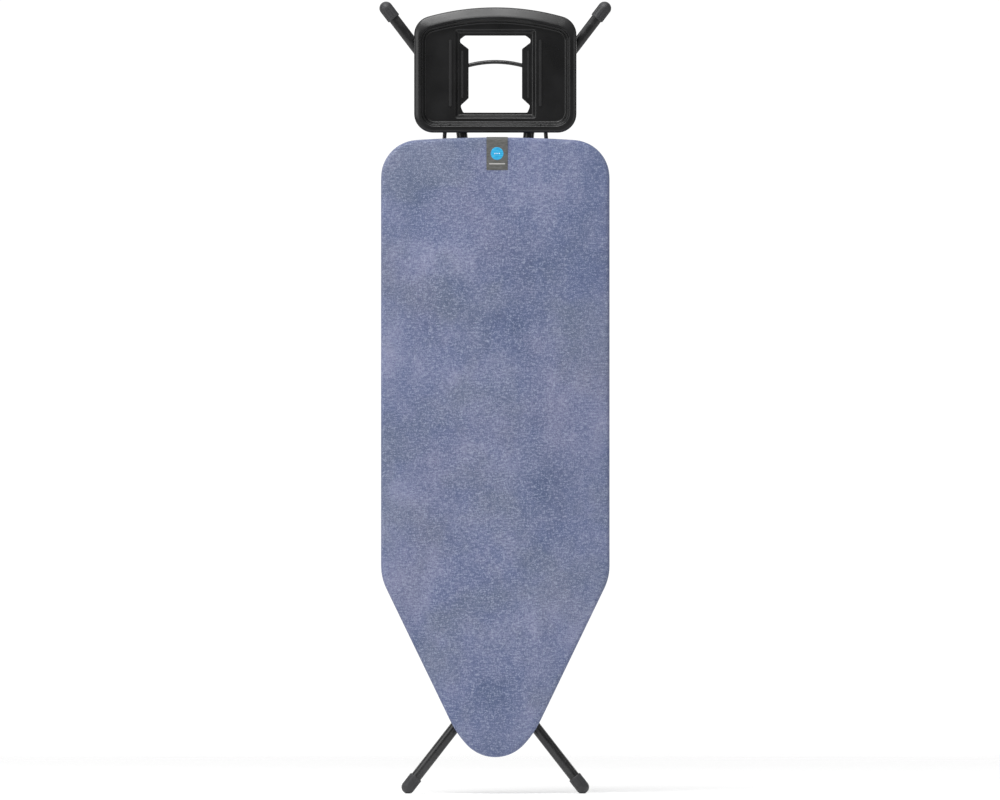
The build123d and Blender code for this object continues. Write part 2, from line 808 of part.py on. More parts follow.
# ---------------------------------------------------------------- transport lock
def make_lock():
    """Turn button that swings behind the inner legs; parked along the board."""
    front, back = lock_layer
    post_radius, stud_radius, head_radius = lock_stud_radii
    post_end = front - side_gap
    head_start = back + side_gap
    with BuildPart() as lock_stud:
        with BuildSketch(back_plane(post_end)):
            with Locations((0, lock_z)):
                Circle(post_radius)
        extrude(amount=post_end - member_layer[1])
        with BuildSketch(back_plane(head_start)):
            with Locations((0, lock_z)):
                Circle(stud_radius)
        extrude(amount=head_start - post_end)
        with BuildSketch(back_plane(overall_depth)):
            with Locations((0, lock_z)):
                Circle(head_radius)
        extrude(amount=overall_depth - head_start)
        fillet(lock_stud.faces().sort_by(Axis.Y)[-1].edges(), lock_stud_round)
    save(lock_stud, "lock_stud")
    with BuildPart() as lock_hook:
        with BuildSketch(back_plane(back)):
            with Locations((0, lock_z)):
                SlotOverall(lock_length, lock_width, rotation=90)
                Circle(stud_radius + running_gap, mode=Mode.SUBTRACT)
        extrude(amount=back - front)
    save(lock_hook, "lock_hook")
    with BuildPart() as lock_grip:
        with BuildSketch(back_plane(back + lock_grip_thickness)):
            with Locations((0, lock_z)):
                SlotOverall(*lock_grip_size, rotation=90)
                Circle(head_radius + 2 * side_gap, mode=Mode.SUBTRACT)
        extrude(amount=lock_grip_thickness)
        fillet(lock_grip.faces().sort_by(Axis.Y)[-1].outer_wire().edges(), lock_grip_round)
    save(lock_grip, "lock_grip")


# ---------------------------------------------------------------- steam unit holder
def tray_face(depth, inset, rim_share=0.0):
    """Outline of the holder, moved inwards by an inset and by a share of the rim width."""
    rim_side, rim_foot, rim_head = [rim_share * width for width in rim_widths]
    width = tray_half_width - inset - rim_side
    top = tray_top_z - inset - rim_head
    bottom = tray_bottom_z + inset + rim_foot
    radius = tray_arch_radius - inset - rim_head
    corner = max(tray_corner_radius - inset - rim_side, tray_corner_least)
    side_z = top - radius + sqrt(radius**2 - width**2)
    with BuildSketch(back_plane(depth)) as sketch:
        with BuildLine():
            Polyline((-width, side_z), (-width, bottom), (width, bottom), (width, side_z))
            ThreePointArc((width, side_z), (0, top), (-width, side_z))
        make_face()
        fillet(sketch.vertices(), corner)
    return sketch.sketch


def wire_sweep(radius, mode=Mode.ADD):
    """Arched bracket wire, or a channel for it, in the current part."""
    right = [wire_start, wire_corner]
    left = [(-x, z) for x, z in reversed(right)]
    with BuildLine(back_plane(wire_depth)) as path:
        FilletPolyline(
            *right,
            (0, wire_apex_z),
            *left,
            radius=(wire_corner_radius, wire_arch_radius, wire_corner_radius),
        )
    with BuildSketch(Plane(origin=path.line @ 0, z_dir=path.line % 0)) as section:
        Circle(radius)
    sweep(section.sketch, path=path.line, mode=mode)


def make_holder_wire():
    with BuildPart() as holder_wire:
        wire_sweep(wire_radius)
    save(holder_wire, "holder_wire")


def make_tray():
    """Moulded holder: sloped hollow rim, stepped wall, sunk floor, and a funnel round the window."""
    front, back = tray_layer
    hook_places = [(side * hook_place[0], hook_place[1]) for side in (-1, 1)]
    middle_z = (surround_z[0] + surround_z[1]) / 2
    height = surround_z[1] - surround_z[0]
    mirrored = [(-x, z) for x, z in reversed(window_points)]
    with BuildPart() as holder_tray:
        extrude(tray_face(back, 0), amount=back - rim_edge_depth)
        loft([tray_face(rim_edge_depth, 0), tray_face(front, 0, rim_crest_share)])
        edge_y = y_of(rim_edge_depth)
        fillet(holder_tray.edges().filter_by_position(Axis.Y, edge_y, edge_y), rim_edge_round)
        extrude(tray_face(ledge_depth, ledge_insets[0], 1), amount=ledge_depth - front, mode=Mode.SUBTRACT)
        loft(
            [tray_face(ledge_depth, ledge_insets[1], 1), tray_face(tray_floor_depth, tray_floor_inset, 1)],
            mode=Mode.SUBTRACT,
        )
        with BuildSketch(back_plane(back)):
            add(tray_face(back, tray_wall))
            add(tray_face(back, ledge_insets[1] - tray_wall, 1), mode=Mode.SUBTRACT)
        extrude(amount=back - rim_hollow_depth, mode=Mode.SUBTRACT)
        with BuildSketch(back_plane(back)):
            add(tray_face(back, tray_floor_inset, 1))
            with Locations((0, middle_z)):
                Rectangle(2 * (surround_half_width + tray_wall), height + 2 * tray_wall, mode=Mode.SUBTRACT)
        extrude(amount=back - tray_floor_depth - tray_wall, mode=Mode.SUBTRACT)
        with BuildSketch(back_plane(tray_floor_depth)):
            with Locations((0, middle_z)):
                RectangleRounded(2 * surround_half_width, height, surround_corner)
        with BuildSketch(back_plane(window_plate_depth)):
            with Locations((0, middle_z)):
                inner_width = 2 * (surround_half_width - surround_slope)
                RectangleRounded(inner_width, height - 2 * surround_slope, surround_corner)
        loft(mode=Mode.SUBTRACT)
        with BuildSketch(back_plane(back)):
            with BuildLine():
                Polyline(*window_points, *mirrored, close=True)
            make_face()
        extrude(amount=back - front, mode=Mode.SUBTRACT)
        with BuildSketch(back_plane(hook_back_depth)):
            with Locations(*hook_places):
                Rectangle(*hook_size)
        extrude(amount=hook_back_depth - back + hook_overlap)
        with BuildSketch(back_plane(back)):
            with Locations(*tray_screws):
                Circle(screw_boss_radius)
        extrude(amount=back - rim_hollow_depth)
        with BuildSketch(back_plane(back)):
            with Locations(*tray_screws):
                Circle(screw_radius)
        extrude(amount=screw_boss_hole, mode=Mode.SUBTRACT)
        wire_sweep(wire_radius + channel_gap, mode=Mode.SUBTRACT)
    save(holder_tray, "holder_tray")


def make_heat_strips():
    """Silicone strips on the floor and beside the window, one node for each side and row."""
    for row, (x, (low, high), width, floor) in (("outer", outer_strips), ("inner", inner_strips)):
        for side in (-1, 1):
            with BuildPart() as strip:
                with BuildSketch(back_plane(floor)):
                    with Locations((side * x, (low + high) / 2)):
                        SlotOverall(high - low, width, rotation=90)
                extrude(amount=strip_height)
                fillet(strip.faces().sort_by(Axis.Y)[0].edges(), strip_round)
            save(strip, f"heat_strip_{row}_{side_name(side)}")


def make_wire_clamp(name, x, z, seat, height):
    """Saddle block that holds the bracket wire, with two screw holes."""
    back = wire_depth + wire_radius + clamp_back
    with BuildPart() as clamp:
        with BuildSketch(back_plane(back)):
            with Locations((x, z)):
                RectangleRounded(clamp_width, height, clamp_corner)
        extrude(amount=back - seat)
        wire_sweep(wire_radius + channel_gap, mode=Mode.SUBTRACT)
        depth_holes(clamp_screws + tray_screws, screw_radius)
    save(clamp, name)


def make_clamp_screws():
    """Pan head screws through the wire clamps, with hexagon sockets."""
    seat = wire_depth + wire_radius + clamp_back
    tip = member_layer[1] - member_sheet
    points = clamp_screws + tray_screws
    head_radius, head_height = screw_head
    socket_radius, socket_depth = screw_socket
    with BuildPart() as screws:
        with BuildSketch(back_plane(seat)):
            with Locations(*points):
                Circle(screw_radius - joint_gap)
        extrude(amount=seat - tip)
        with BuildSketch(back_plane(seat)):
            with Locations(*points):
                Circle(head_radius)
        extrude(amount=-head_height, taper=screw_head_taper)
        with BuildSketch(back_plane(seat + head_height)):
            with Locations(*points):
                RegularPolygon(socket_radius, 6)
        extrude(amount=socket_depth, mode=Mode.SUBTRACT)
    save(screws, "clamp_screws")


# ---------------------------------------------------------------- build everything
sides = (-1, 1)
inner_leg_top = inner_pivot_z + tube_end_overrun
outer_leg_bottom = slide_bar_z - tube_end_overrun
centre_bore = centre_rod_radius + joint_gap
centre_pivot = (tube_depth, centre_pivot_z)
spacer_span = (inner_leg_x + tube_radius + side_gap, outer_leg_x - tube_radius - side_gap)

make_rim()
make_mesh_top()
make_cross_member("nose_cross_member", nose_member_z, rail_rivets_low, rivet_radius)
centre_holes = rail_rivets_high + latch_rivets
make_cross_member("centre_cross_member", centre_member_z, centre_holes, rivet_radius)
head_holes = bracket_rivets + clamp_screws
make_cross_member("head_cross_member", head_member_z, head_holes, rivet_radius)
make_rivets()
make_pad()
make_cover()
make_label()

for side in sides:
    end = side_name(side)
    inner = (inner_leg_x, inner_leg_top, inner_bend_z, inner_foot)
    outer = (outer_leg_x, outer_leg_bottom, outer_bend_z, outer_foot)
    make_leg(f"inner_leg_{end}", side, *inner, centre_rod_radius + running_gap)
    make_leg(f"outer_leg_{end}", side, *outer, centre_rod_radius + joint_gap)
    make_foot(f"inner_foot_{end}", side, inner_leg_x, inner_bend_z, inner_foot)
    make_foot(f"outer_foot_{end}", side, outer_leg_x, outer_bend_z, outer_foot)
    make_lug(f"pivot_lug_{end}", side * inner_leg_x, inner_pivot_z, pivot_sleeve_radius + joint_gap)
    make_lug(f"slide_lug_{end}", side * outer_leg_x, slide_bar_z, slide_bar_radius + joint_gap)
    make_pivot_bracket(side)
    make_guide_rail(side)
    glide = [side * x for x in glide_span]
    glide_bore = slide_bar_radius + joint_gap
    make_bar(f"slide_glide_{end}", *glide, top_axis_depth, slide_bar_z, glide_radius, glide_bore)
    spacer = [side * x for x in spacer_span]
    make_bar(f"pivot_spacer_{end}", *spacer, *centre_pivot, spacer_radius, centre_bore)
    make_pivot_cap(side)
    make_wire_clamp(f"wire_clamp_{end}", side * clamp_x, head_member_z, member_layer[1], clamp_width)
    tray_seat = tray_layer[1]
    make_wire_clamp(f"tray_clamp_{end}", side * tray_clamp[0], tray_clamp[1], tray_seat, tray_clamp_height)

make_brace("inner_leg_brace", *inner_brace, inner_leg_x, inner_leg_top, inner_bend_z, inner_foot)
make_brace("outer_leg_brace", *outer_brace, outer_leg_x, outer_leg_bottom, outer_bend_z, outer_foot)

pivot = (top_axis_depth, inner_pivot_z)
make_bar("pivot_axle", -pivot_axle_half_length, pivot_axle_half_length, *pivot, pivot_axle_radius)
sleeve_end = bracket_x - 2 * side_gap
sleeve_bore = pivot_axle_radius + running_gap
make_bar("pivot_sleeve", -sleeve_end, sleeve_end, *pivot, pivot_sleeve_radius, sleeve_bore)
make_axle_rings()
bar_end = slide_bar_half_length
slide_axis = (top_axis_depth, slide_bar_z)
make_bar("slide_bar", -bar_end, bar_end, *slide_axis, slide_bar_radius, slide_bar_bore)
rod_end = centre_rod_half_length
make_bar("centre_rod", -rod_end, rod_end, *centre_pivot, centre_rod_radius)
sleeve_end = inner_leg_x - tube_radius - side_gap
make_bar("centre_sleeve", -sleeve_end, sleeve_end, *centre_pivot, centre_sleeve_radius, centre_bore)

make_rail_stops()
make_latch_bracket()
pin_end = latch_cheek_x + bracket_sheet + latch_pin_overhang
make_bar("latch_pin", -pin_end, pin_end, latch_pin_depth, latch_pin_z, latch_pin_radius)
make_latch_plate()
make_release_grip()
make_latch_spring()
make_lock()
make_holder_wire()
make_tray()
make_heat_strips()
make_clamp_screws()
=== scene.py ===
"""Looks of the folding ironing board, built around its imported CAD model.

Metres, +Z up, cover towards -Y."""

import json
import math

import bmesh
import bpy
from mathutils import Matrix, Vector, noise


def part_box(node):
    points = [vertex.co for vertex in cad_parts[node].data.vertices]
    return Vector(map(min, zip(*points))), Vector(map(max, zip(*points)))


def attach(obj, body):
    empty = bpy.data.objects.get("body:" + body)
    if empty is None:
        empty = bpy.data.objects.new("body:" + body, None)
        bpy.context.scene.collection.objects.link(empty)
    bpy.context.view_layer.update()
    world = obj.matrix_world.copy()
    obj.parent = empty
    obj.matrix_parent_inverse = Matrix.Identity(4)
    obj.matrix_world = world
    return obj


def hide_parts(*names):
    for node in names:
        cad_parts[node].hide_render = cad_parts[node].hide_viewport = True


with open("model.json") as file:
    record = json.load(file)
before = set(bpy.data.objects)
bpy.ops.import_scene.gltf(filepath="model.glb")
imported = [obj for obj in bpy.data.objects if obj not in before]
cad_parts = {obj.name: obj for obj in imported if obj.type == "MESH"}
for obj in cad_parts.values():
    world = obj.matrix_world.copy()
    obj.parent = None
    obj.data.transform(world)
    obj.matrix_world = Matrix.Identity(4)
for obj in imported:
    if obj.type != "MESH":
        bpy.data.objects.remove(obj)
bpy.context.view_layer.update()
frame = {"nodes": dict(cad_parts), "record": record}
scene = bpy.context.scene
scene.view_settings.view_transform = "Standard"

# ---------------------------------------------------------------- places read from the frame
COVER_LOW, COVER_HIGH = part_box("cover")
PAD_LOW, PAD_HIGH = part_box("foam_pad")
MESH_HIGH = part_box("mesh_top")[1]
TAG_LOW, TAG_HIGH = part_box("cover_label")
FRONT_Y = COVER_LOW.y
BACK_Y = COVER_HIGH.y
HEAD_Z = COVER_HIGH.z
NOSE_Z = COVER_LOW.z
HALF_WIDTH = COVER_HIGH.x

# outline of the worktop, as in the CAD model
HEAD_ARCH = 2.450
HEAD_CORNER = 0.075
SHOULDER = 0.100
NOSE = 0.078
NOSE_BLEND = 0.200
TAPER = 0.4833
TAPER_X = 0.0195
HEM_WIDTH = 0.034


def new_object(name, data):
    """Object in the scene for a mesh, a camera or a light."""
    made = bpy.data.objects.new(name, data)
    scene.collection.objects.link(made)
    return made


def smooth(mesh):
    mesh.polygons.foreach_set("use_smooth", [True] * len(mesh.polygons))


# ---------------------------------------------------------------- camera, far off with a long lens
LENS = 720.0
FRAME_WIDTH = 2.0
VIEW_CENTRE = (0.0094, 0.788)
CLIP_END = 200
camera_data = bpy.data.cameras.new("camera")
camera_data.lens = LENS
camera = new_object("camera", camera_data)
distance = FRAME_WIDTH * LENS / camera_data.sensor_width
camera.location = (VIEW_CENTRE[0], FRONT_Y - distance, VIEW_CENTRE[1])
camera.rotation_euler = (math.radians(90), 0, 0)
camera_data.clip_end = CLIP_END
scene.camera = camera


# ---------------------------------------------------------------- material helpers
class Shader:
    """A material with short ways to add nodes and link them."""

    def __init__(self, name, color, roughness, metallic=0.0, specular=0.5):
        self.material = bpy.data.materials.new(name)
        self.material.use_nodes = True
        self.tree = self.material.node_tree
        self.main = self.tree.nodes["Principled BSDF"]
        self.set("Base Color", (*color, 1))
        self.set("Roughness", roughness)
        self.set("Metallic", metallic)
        self.set("Specular IOR Level", specular)
        self.place = self.node("ShaderNodeTexCoord").outputs["Object"]

    def set(self, socket, value):
        self.main.inputs[socket].default_value = value

    def node(self, kind, inputs=None, **settings):
        made = self.tree.nodes.new(kind)
        for key, value in settings.items():
            setattr(made, key, value)
        for key, value in (inputs or {}).items():
            if isinstance(value, bpy.types.NodeSocket):
                self.tree.links.new(value, made.inputs[key])
            else:
                made.inputs[key].default_value = value
        return made

    def link(self, output, socket):
        self.tree.links.new(output, self.main.inputs[socket])

    def scaled(self, scale):
        mapping = self.node("ShaderNodeMapping", {"Vector": self.place, "Scale": scale})
        return mapping.outputs["Vector"]

    def noise(self, scale, detail=2.0, roughness=0.5, stretch=(1, 1, 1)):
        where = self.scaled(stretch)
        inputs = {"Vector": where, "Scale": scale, "Detail": detail, "Roughness": roughness}
        return self.node("ShaderNodeTexNoise", inputs).outputs["Fac"]

    def ramp(self, factor, stops):
        made = self.node("ShaderNodeValToRGB", {"Fac": factor})
        elements = made.color_ramp.elements
        while len(elements) < len(stops):
            elements.new(0.5)
        for element, (position, color) in zip(elements, stops):
            element.position = position
            element.color = (*color, 1) if len(color) == 3 else color
        return made.outputs["Color"]

    def math(self, operation, first, second=0.0, third=0.0):
        inputs = {0: first, 1: second, 2: third}
        return self.node("ShaderNodeMath", inputs, operation=operation).outputs[0]

    def span(self, value, low, high, to_low=0.0, to_high=1.0):
        inputs = {"Value": value, 1: low, 2: high, 3: to_low, 4: to_high}
        return self.node("ShaderNodeMapRange", inputs).outputs["Result"]

    def ribs(self, axis, pitch):
        """Even waves along an axis, from -1 to 1."""
        along = self.node("ShaderNodeSeparateXYZ", {"Vector": self.place}).outputs[axis]
        return self.math("SINE", self.math("MULTIPLY", along, 2 * math.pi / pitch))

    def mix(self, factor, first, second):
        made = self.node("ShaderNodeMix", data_type="RGBA", blend_type="MIX")
        for key, value in ((0, factor), (6, first), (7, second)):
            if isinstance(value, bpy.types.NodeSocket):
                self.tree.links.new(value, made.inputs[key])
            else:
                made.inputs[key].default_value = value if key == 0 else (*value, 1)
        return made.outputs[2]

    def bump(self, height, strength, depth):
        made = self.node("ShaderNodeBump", {"Height": height, "Strength": strength, "Distance": depth})
        self.link(made.outputs["Normal"], "Normal")


def linear(red, green, blue):
    """Linear colour from 0-255 display values, by the sRGB curve."""
    out = []
    for value in (red, green, blue):
        c = value / 255
        out.append(c / 12.92 if c <= 0.04045 else ((c + 0.055) / 1.055) ** 2.4)
    return tuple(out)


# ---------------------------------------------------------------- materials
THREAD_PITCH = 0.0011


def make_denim():
    """Mottled chambray: soft cloudy patches, slubbed yarns both ways, a fine plain weave."""
    s = Shader("cover_denim", (0.2, 0.22, 0.32), 0.9, specular=0.2)
    cloud = s.noise(7.0, 3.0, 0.6)
    patch = s.noise(19.0, 3.0, 0.65, (1.0, 1.0, 0.7))
    tint = s.noise(6.0, 3.0, 0.55)
    blush = s.noise(4.0, 2.0, 0.5, (1.3, 1.0, 0.8))
    weft = s.noise(320.0, 2.0, 0.6, (0.30, 1.0, 1.0))
    warp = s.noise(320.0, 2.0, 0.6, (1.0, 1.0, 0.45))
    grain = s.noise(560.0, 1.0, 0.6)
    base = s.ramp(cloud, ((0.34, linear(88, 99, 129)), (0.66, linear(133, 137, 165))))
    base = s.mix(s.span(patch, 0.40, 0.62, 0.0, 0.62), base, linear(93, 104, 138))
    base = s.mix(s.span(tint, 0.50, 0.62, 0.0, 0.40), base, linear(105, 113, 126))
    base = s.mix(s.span(blush, 0.52, 0.68, 0.0, 0.30), base, linear(124, 122, 146))
    yarn = s.math("ADD", s.math("MULTIPLY", weft, 0.6), s.math("MULTIPLY", warp, 0.4))
    yarn = s.math("ADD", s.math("MULTIPLY", yarn, 0.6), s.math("MULTIPLY", grain, 0.4))
    pale = s.span(yarn, 0.50, 0.64, 0.0, 0.66)
    deep = s.span(yarn, 0.50, 0.36, 0.0, 0.66)
    base = s.mix(pale, base, linear(166, 173, 194))
    base = s.mix(deep, base, linear(75, 84, 117))
    s.link(base, "Base Color")
    weave = s.math("MULTIPLY", s.ribs("X", THREAD_PITCH), s.ribs("Z", THREAD_PITCH))
    height = s.math("ADD", s.math("MULTIPLY", weave, 0.25), s.math("MULTIPLY", yarn, 1.5))
    s.bump(height, 0.35, 0.0004)
    s.link(s.span(yarn, 0.3, 0.7, 0.95, 0.82), "Roughness")
    s.set("Sheen Weight", 0.06)
    s.set("Sheen Roughness", 0.5)
    s.set("Sheen Tint", (0.5, 0.6, 0.9, 1))
    return s.material


def make_powder(name, color, roughness):
    """Powder coated steel: fine orange peel, slight gloss changes, rubbed paler on high spots."""
    s = Shader(name, color, roughness, specular=0.5)
    peel = s.noise(900.0, 2.0, 0.5)
    dust = s.noise(40.0, 4.0, 0.6)
    s.link(s.span(dust, 0.3, 0.7, roughness - 0.06, roughness + 0.08), "Roughness")
    worn = s.node("ShaderNodeNewGeometry").outputs["Pointiness"]
    rub = s.math("MULTIPLY", s.span(worn, 0.52, 0.60), s.span(dust, 0.45, 0.6))
    pale = tuple(min(1.0, c * 2.2 + 0.02) for c in color)
    s.link(s.mix(s.math("MULTIPLY", rub, 0.5), color, pale), "Base Color")
    s.bump(peel, 0.12, 0.0002)
    return s.material


def make_zinc():
    """Zinc plated steel with drawn lines and cloudy passivation."""
    s = Shader("zinc_plate", (0.55, 0.56, 0.57), 0.35, metallic=1.0)
    lines = s.noise(260.0, 2.0, 0.6, (1.0, 1.0, 0.05))
    cloud = s.noise(60.0, 3.0, 0.6)
    s.link(s.ramp(cloud, ((0.3, (0.33, 0.34, 0.35)), (0.7, (0.46, 0.47, 0.46)))), "Base Color")
    mixed = s.math("ADD", s.math("MULTIPLY", lines, 0.6), s.math("MULTIPLY", cloud, 0.4))
    s.link(s.span(mixed, 0.3, 0.7, 0.28, 0.48), "Roughness")
    s.bump(lines, 0.1, 0.0001)
    return s.material


def make_moulded(name, color, roughness, grain_scale, grain, specular=0.5):
    """Moulded plastic or rubber: spark-eroded grain, faint flow clouds and handling gloss."""
    s = Shader(name, color, roughness, specular=specular)
    spark = s.noise(grain_scale, 2.0, 0.6)
    flow = s.noise(14.0, 3.0, 0.55)
    paler = tuple(min(1.0, c * 1.35 + 0.002) for c in color)
    s.link(s.ramp(flow, ((0.35, color), (0.65, paler))), "Base Color")
    s.link(s.span(flow, 0.3, 0.7, roughness - 0.05, roughness + 0.07), "Roughness")
    s.bump(spark, grain, 0.0003)
    return s.material


def make_foam():
    """Pale open-cell foam with pores, painted darker as painted shade inside the holes."""
    s = Shader("underlay_foam", (0.72, 0.71, 0.64), 0.95, specular=0.1)
    cells = s.node("ShaderNodeTexVoronoi", {"Vector": s.place, "Scale": 420.0}).outputs["Distance"]
    cloud = s.noise(30.0, 3.0, 0.6)
    base = s.ramp(cloud, ((0.3, (0.66, 0.65, 0.58)), (0.7, (0.78, 0.77, 0.70))))
    # painted shade: the middle of each cell (the pore) is painted darker
    s.link(s.mix(s.span(cells, 0.3, 0.05, 0.0, 0.5), base, (0.45, 0.44, 0.38)), "Base Color")
    s.bump(cells, 0.6, 0.0008)
    return s.material


def make_woven(name, color, pale, pitch):
    """Narrow woven tape: fine ribs with a little colour change from yarn to yarn."""
    s = Shader(name, color, 0.8, specular=0.25)
    rib = s.ribs("Z", pitch)
    yarn = s.noise(500.0, 2.0, 0.6, (0.2, 1.0, 1.0))
    s.link(s.mix(s.span(yarn, 0.35, 0.65), color, pale), "Base Color")
    s.bump(s.math("ADD", s.math("MULTIPLY", rib, 0.5), yarn), 0.4, 0.0003)
    s.set("Sheen Weight", 0.15)
    return s.material


MATERIALS = {
    "cover_blue": make_denim(),
    "leg_black": make_powder("leg_powder_coat", linear(24, 24, 25), 0.25),
    "frame_grey": make_powder("frame_powder_coat", linear(52, 52, 54), 0.42),
    "mesh_grey": make_powder("mesh_coat", linear(150, 152, 155), 0.45),
    "zinc": make_zinc(),
    "tray_black": make_moulded("tray_plastic", linear(11, 11, 12), 0.30, 1300.0, 0.03, 0.42),
    "silicone": make_moulded("silicone_rubber", linear(17, 17, 18), 0.55, 600.0, 0.12, 0.4),
    "foot_black": make_moulded("foot_plastic", linear(40, 40, 42), 0.48, 900.0, 0.15),
    "nylon": make_moulded("nylon_black", linear(36, 36, 37), 0.45, 900.0, 0.12),
    "foam": make_foam(),
    "label_grey": make_woven("tag_tape", linear(84, 84, 82), linear(102, 102, 100), 0.0008),
}

# looks of the CAD model's own pieces
SHARP_DEGREES = 32
slot_of = {entry["node"]: entry["material_slot"] for entry in frame["record"]["subparts"]}
for node_name, node in frame["nodes"].items():
    node.data.materials.clear()
    node.data.materials.append(MATERIALS[slot_of[node_name]])
    smooth(node.data)
    node.data.set_sharp_from_angle(angle=math.radians(SHARP_DEGREES))


# ---------------------------------------------------------------- mesh helpers
def piece(name, points, faces, slot, body="worktop", replaces=()):
    """A mesh object with the material of a record slot, riding on a body."""
    mesh = bpy.data.meshes.new(name)
    mesh.from_pydata([tuple(p) for p in points], [], faces)
    mesh.validate()
    smooth(mesh)
    made = new_object(name, mesh)
    made.data.materials.append(MATERIALS[slot])
    if replaces:
        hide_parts(*replaces)
    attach(made, body)
    return made


def from_bmesh(name, work, slot):
    """Object made from a finished bmesh, with the material of a record slot."""
    mesh = bpy.data.meshes.new(name)
    work.to_mesh(mesh)
    work.free()
    mesh.materials.append(MATERIALS[slot])
    return new_object(name, mesh)


def thicken(made, thickness, offset):
    """Gives a surface a thickness, on its back (offset -1) or on both sides (offset 0)."""
    solid = made.modifiers.new("thickness", "SOLIDIFY")
    solid.thickness = thickness
    solid.offset = offset
    return solid


def apply_modifiers(made):
    """Bakes an object's modifiers into its mesh."""
    graph = bpy.context.evaluated_depsgraph_get()
    mesh = bpy.data.meshes.new_from_object(made.evaluated_get(graph))
    made.modifiers.clear()
    made.data = mesh


def weld(made, distance):
    """Joins points that lie closer than a distance and turns all faces outwards."""
    work = bmesh.new()
    work.from_mesh(made.data)
    bmesh.ops.remove_doubles(work, verts=work.verts, dist=distance)
    bmesh.ops.recalc_face_normals(work, faces=work.faces)
    work.to_mesh(made.data)
    work.free()
    smooth(made.data)


def shade(made, angle):
    """Smooth shading with sharp edges above an angle in degrees."""
    smooth(made.data)
    made.data.set_sharp_from_angle(angle=math.radians(angle))


def bevelled(made, width):
    bevel = made.modifiers.new("edge", "BEVEL")
    bevel.width = width
    bevel.segments = 2
    bevel.limit_method = "ANGLE"
    apply_modifiers(made)
    shade(made, SHARP_DEGREES)


def band(first, second, count):
    """Quads between two closed rings of points, given by the index of their first point."""
    made = []
    for i in range(count):
        j = (i + 1) % count
        made.append((first + i, first + j, second + j, second + i))
    return made


# ---------------------------------------------------------------- worktop outline
def outline_segments():
    """Right half of the outline from nose to head, as arcs (centre, radius, angles) and lines."""
    norm = math.sqrt(1 + TAPER**2)
    lean = math.atan(TAPER)
    arch_z = HEAD_Z - HEAD_ARCH
    corner_x = HALF_WIDTH - HEAD_CORNER
    corner_z = arch_z + math.sqrt((HEAD_ARCH - HEAD_CORNER) ** 2 - corner_x**2)
    head_angle = math.atan2(corner_z - arch_z, corner_x)
    shoulder_x = HALF_WIDTH - SHOULDER
    shoulder_z = (shoulder_x - TAPER_X + SHOULDER * norm) / TAPER
    nose_z = NOSE_Z + NOSE
    shift = TAPER_X - NOSE_BLEND * norm
    a = 1 + TAPER**2
    b = TAPER * shift - nose_z
    c = shift**2 + nose_z**2 - (NOSE_BLEND - NOSE) ** 2
    blend_z = (-b + math.sqrt(b * b - a * c)) / a
    blend_x = shift + TAPER * blend_z
    nose_angle = math.atan2(nose_z - blend_z, -blend_x)
    taper_start = (blend_x + NOSE_BLEND * math.cos(lean), blend_z - NOSE_BLEND * math.sin(lean))
    taper_end = (shoulder_x + SHOULDER * math.cos(lean), shoulder_z - SHOULDER * math.sin(lean))
    return [
        ("arc", (0, nose_z), NOSE, -math.pi / 2, nose_angle),
        ("arc", (blend_x, blend_z), NOSE_BLEND, nose_angle, -lean),
        ("line", taper_start, taper_end),
        ("arc", (shoulder_x, shoulder_z), SHOULDER, -lean, 0.0),
        ("line", (HALF_WIDTH, shoulder_z), (HALF_WIDTH, corner_z)),
        ("arc", (corner_x, corner_z), HEAD_CORNER, 0.0, head_angle),
        ("arc", (0, arch_z), HEAD_ARCH, head_angle, math.pi / 2),
    ]


def half_outline(step):
    """Points (x, z) and outward normals along the right half, about step apart, ends included."""
    made = []
    for segment in outline_segments():
        if segment[0] == "line":
            (x0, z0), (x1, z1) = segment[1:]
            length = math.hypot(x1 - x0, z1 - z0)
            normal = ((z1 - z0) / length, -(x1 - x0) / length)
            count = max(1, round(length / step))
            for i in range(count):
                t = i / count
                made.append(((x0 + (x1 - x0) * t, z0 + (z1 - z0) * t), normal))
        else:
            (cx, cz), radius, start, end = segment[1:]
            count = max(2, round(radius * abs(end - start) / step))
            for i in range(count):
                angle = start + (end - start) * i / count
                normal = (math.cos(angle), math.sin(angle))
                made.append(((cx + radius * normal[0], cz + radius * normal[1]), normal))
    made.append(((0.0, HEAD_Z), (0.0, 1.0)))
    return made


def full_outline(step):
    """Whole outline, from the nose up the right side and down the left."""
    right = half_outline(step)
    left = [((-p[0], p[1]), (-n[0], n[1])) for p, n in reversed(right[1:-1])]
    return right + left


def half_width_at(z):
    return min(HALF_WIDTH, TAPER_X + TAPER * z)


# lowest and highest Z of the line on which a closed front ends
SPINE = (NOSE_Z + 0.16, HEAD_Z - 0.10)


def shell_rings(outline, profile, fill_steps, crown):
    """Rings that follow a section profile round the outline, then close over the front.

    profile is a list of (inset, y); after its last ring the surface runs to the spine with a crown."""
    points, count = [], len(outline)
    for inset, y in profile:
        points += [(p[0] - n[0] * inset, y, p[1] - n[1] * inset) for p, n in outline]
    inset, y = profile[-1]
    for step in range(1, fill_steps + 1):
        t = step / fill_steps
        for p, n in outline:
            edge = (p[0] - n[0] * inset, p[1] - n[1] * inset)
            centre = (0.0, min(max(edge[1], SPINE[0]), SPINE[1]))
            rise = crown * (1 - (1 - t) ** 3)
            x = edge[0] + (centre[0] - edge[0]) * t
            z = edge[1] + (centre[1] - edge[1]) * t
            points.append((x, y - rise, z))
    rings = len(profile) + fill_steps
    faces = []
    for ring in range(rings - 1):
        faces += band(ring * count, (ring + 1) * count, count)
    return points, faces


def round_edge(profile, centre, radius, start, end, steps):
    """Adds an arc to a section profile; angle 0 points outwards, 90 towards the front."""
    for i in range(steps + 1):
        angle = math.radians(start + (end - start) * i / steps)
        inset = centre[0] - radius * math.cos(angle)
        y = centre[1] - radius * math.sin(angle)
        profile.append((inset, y))


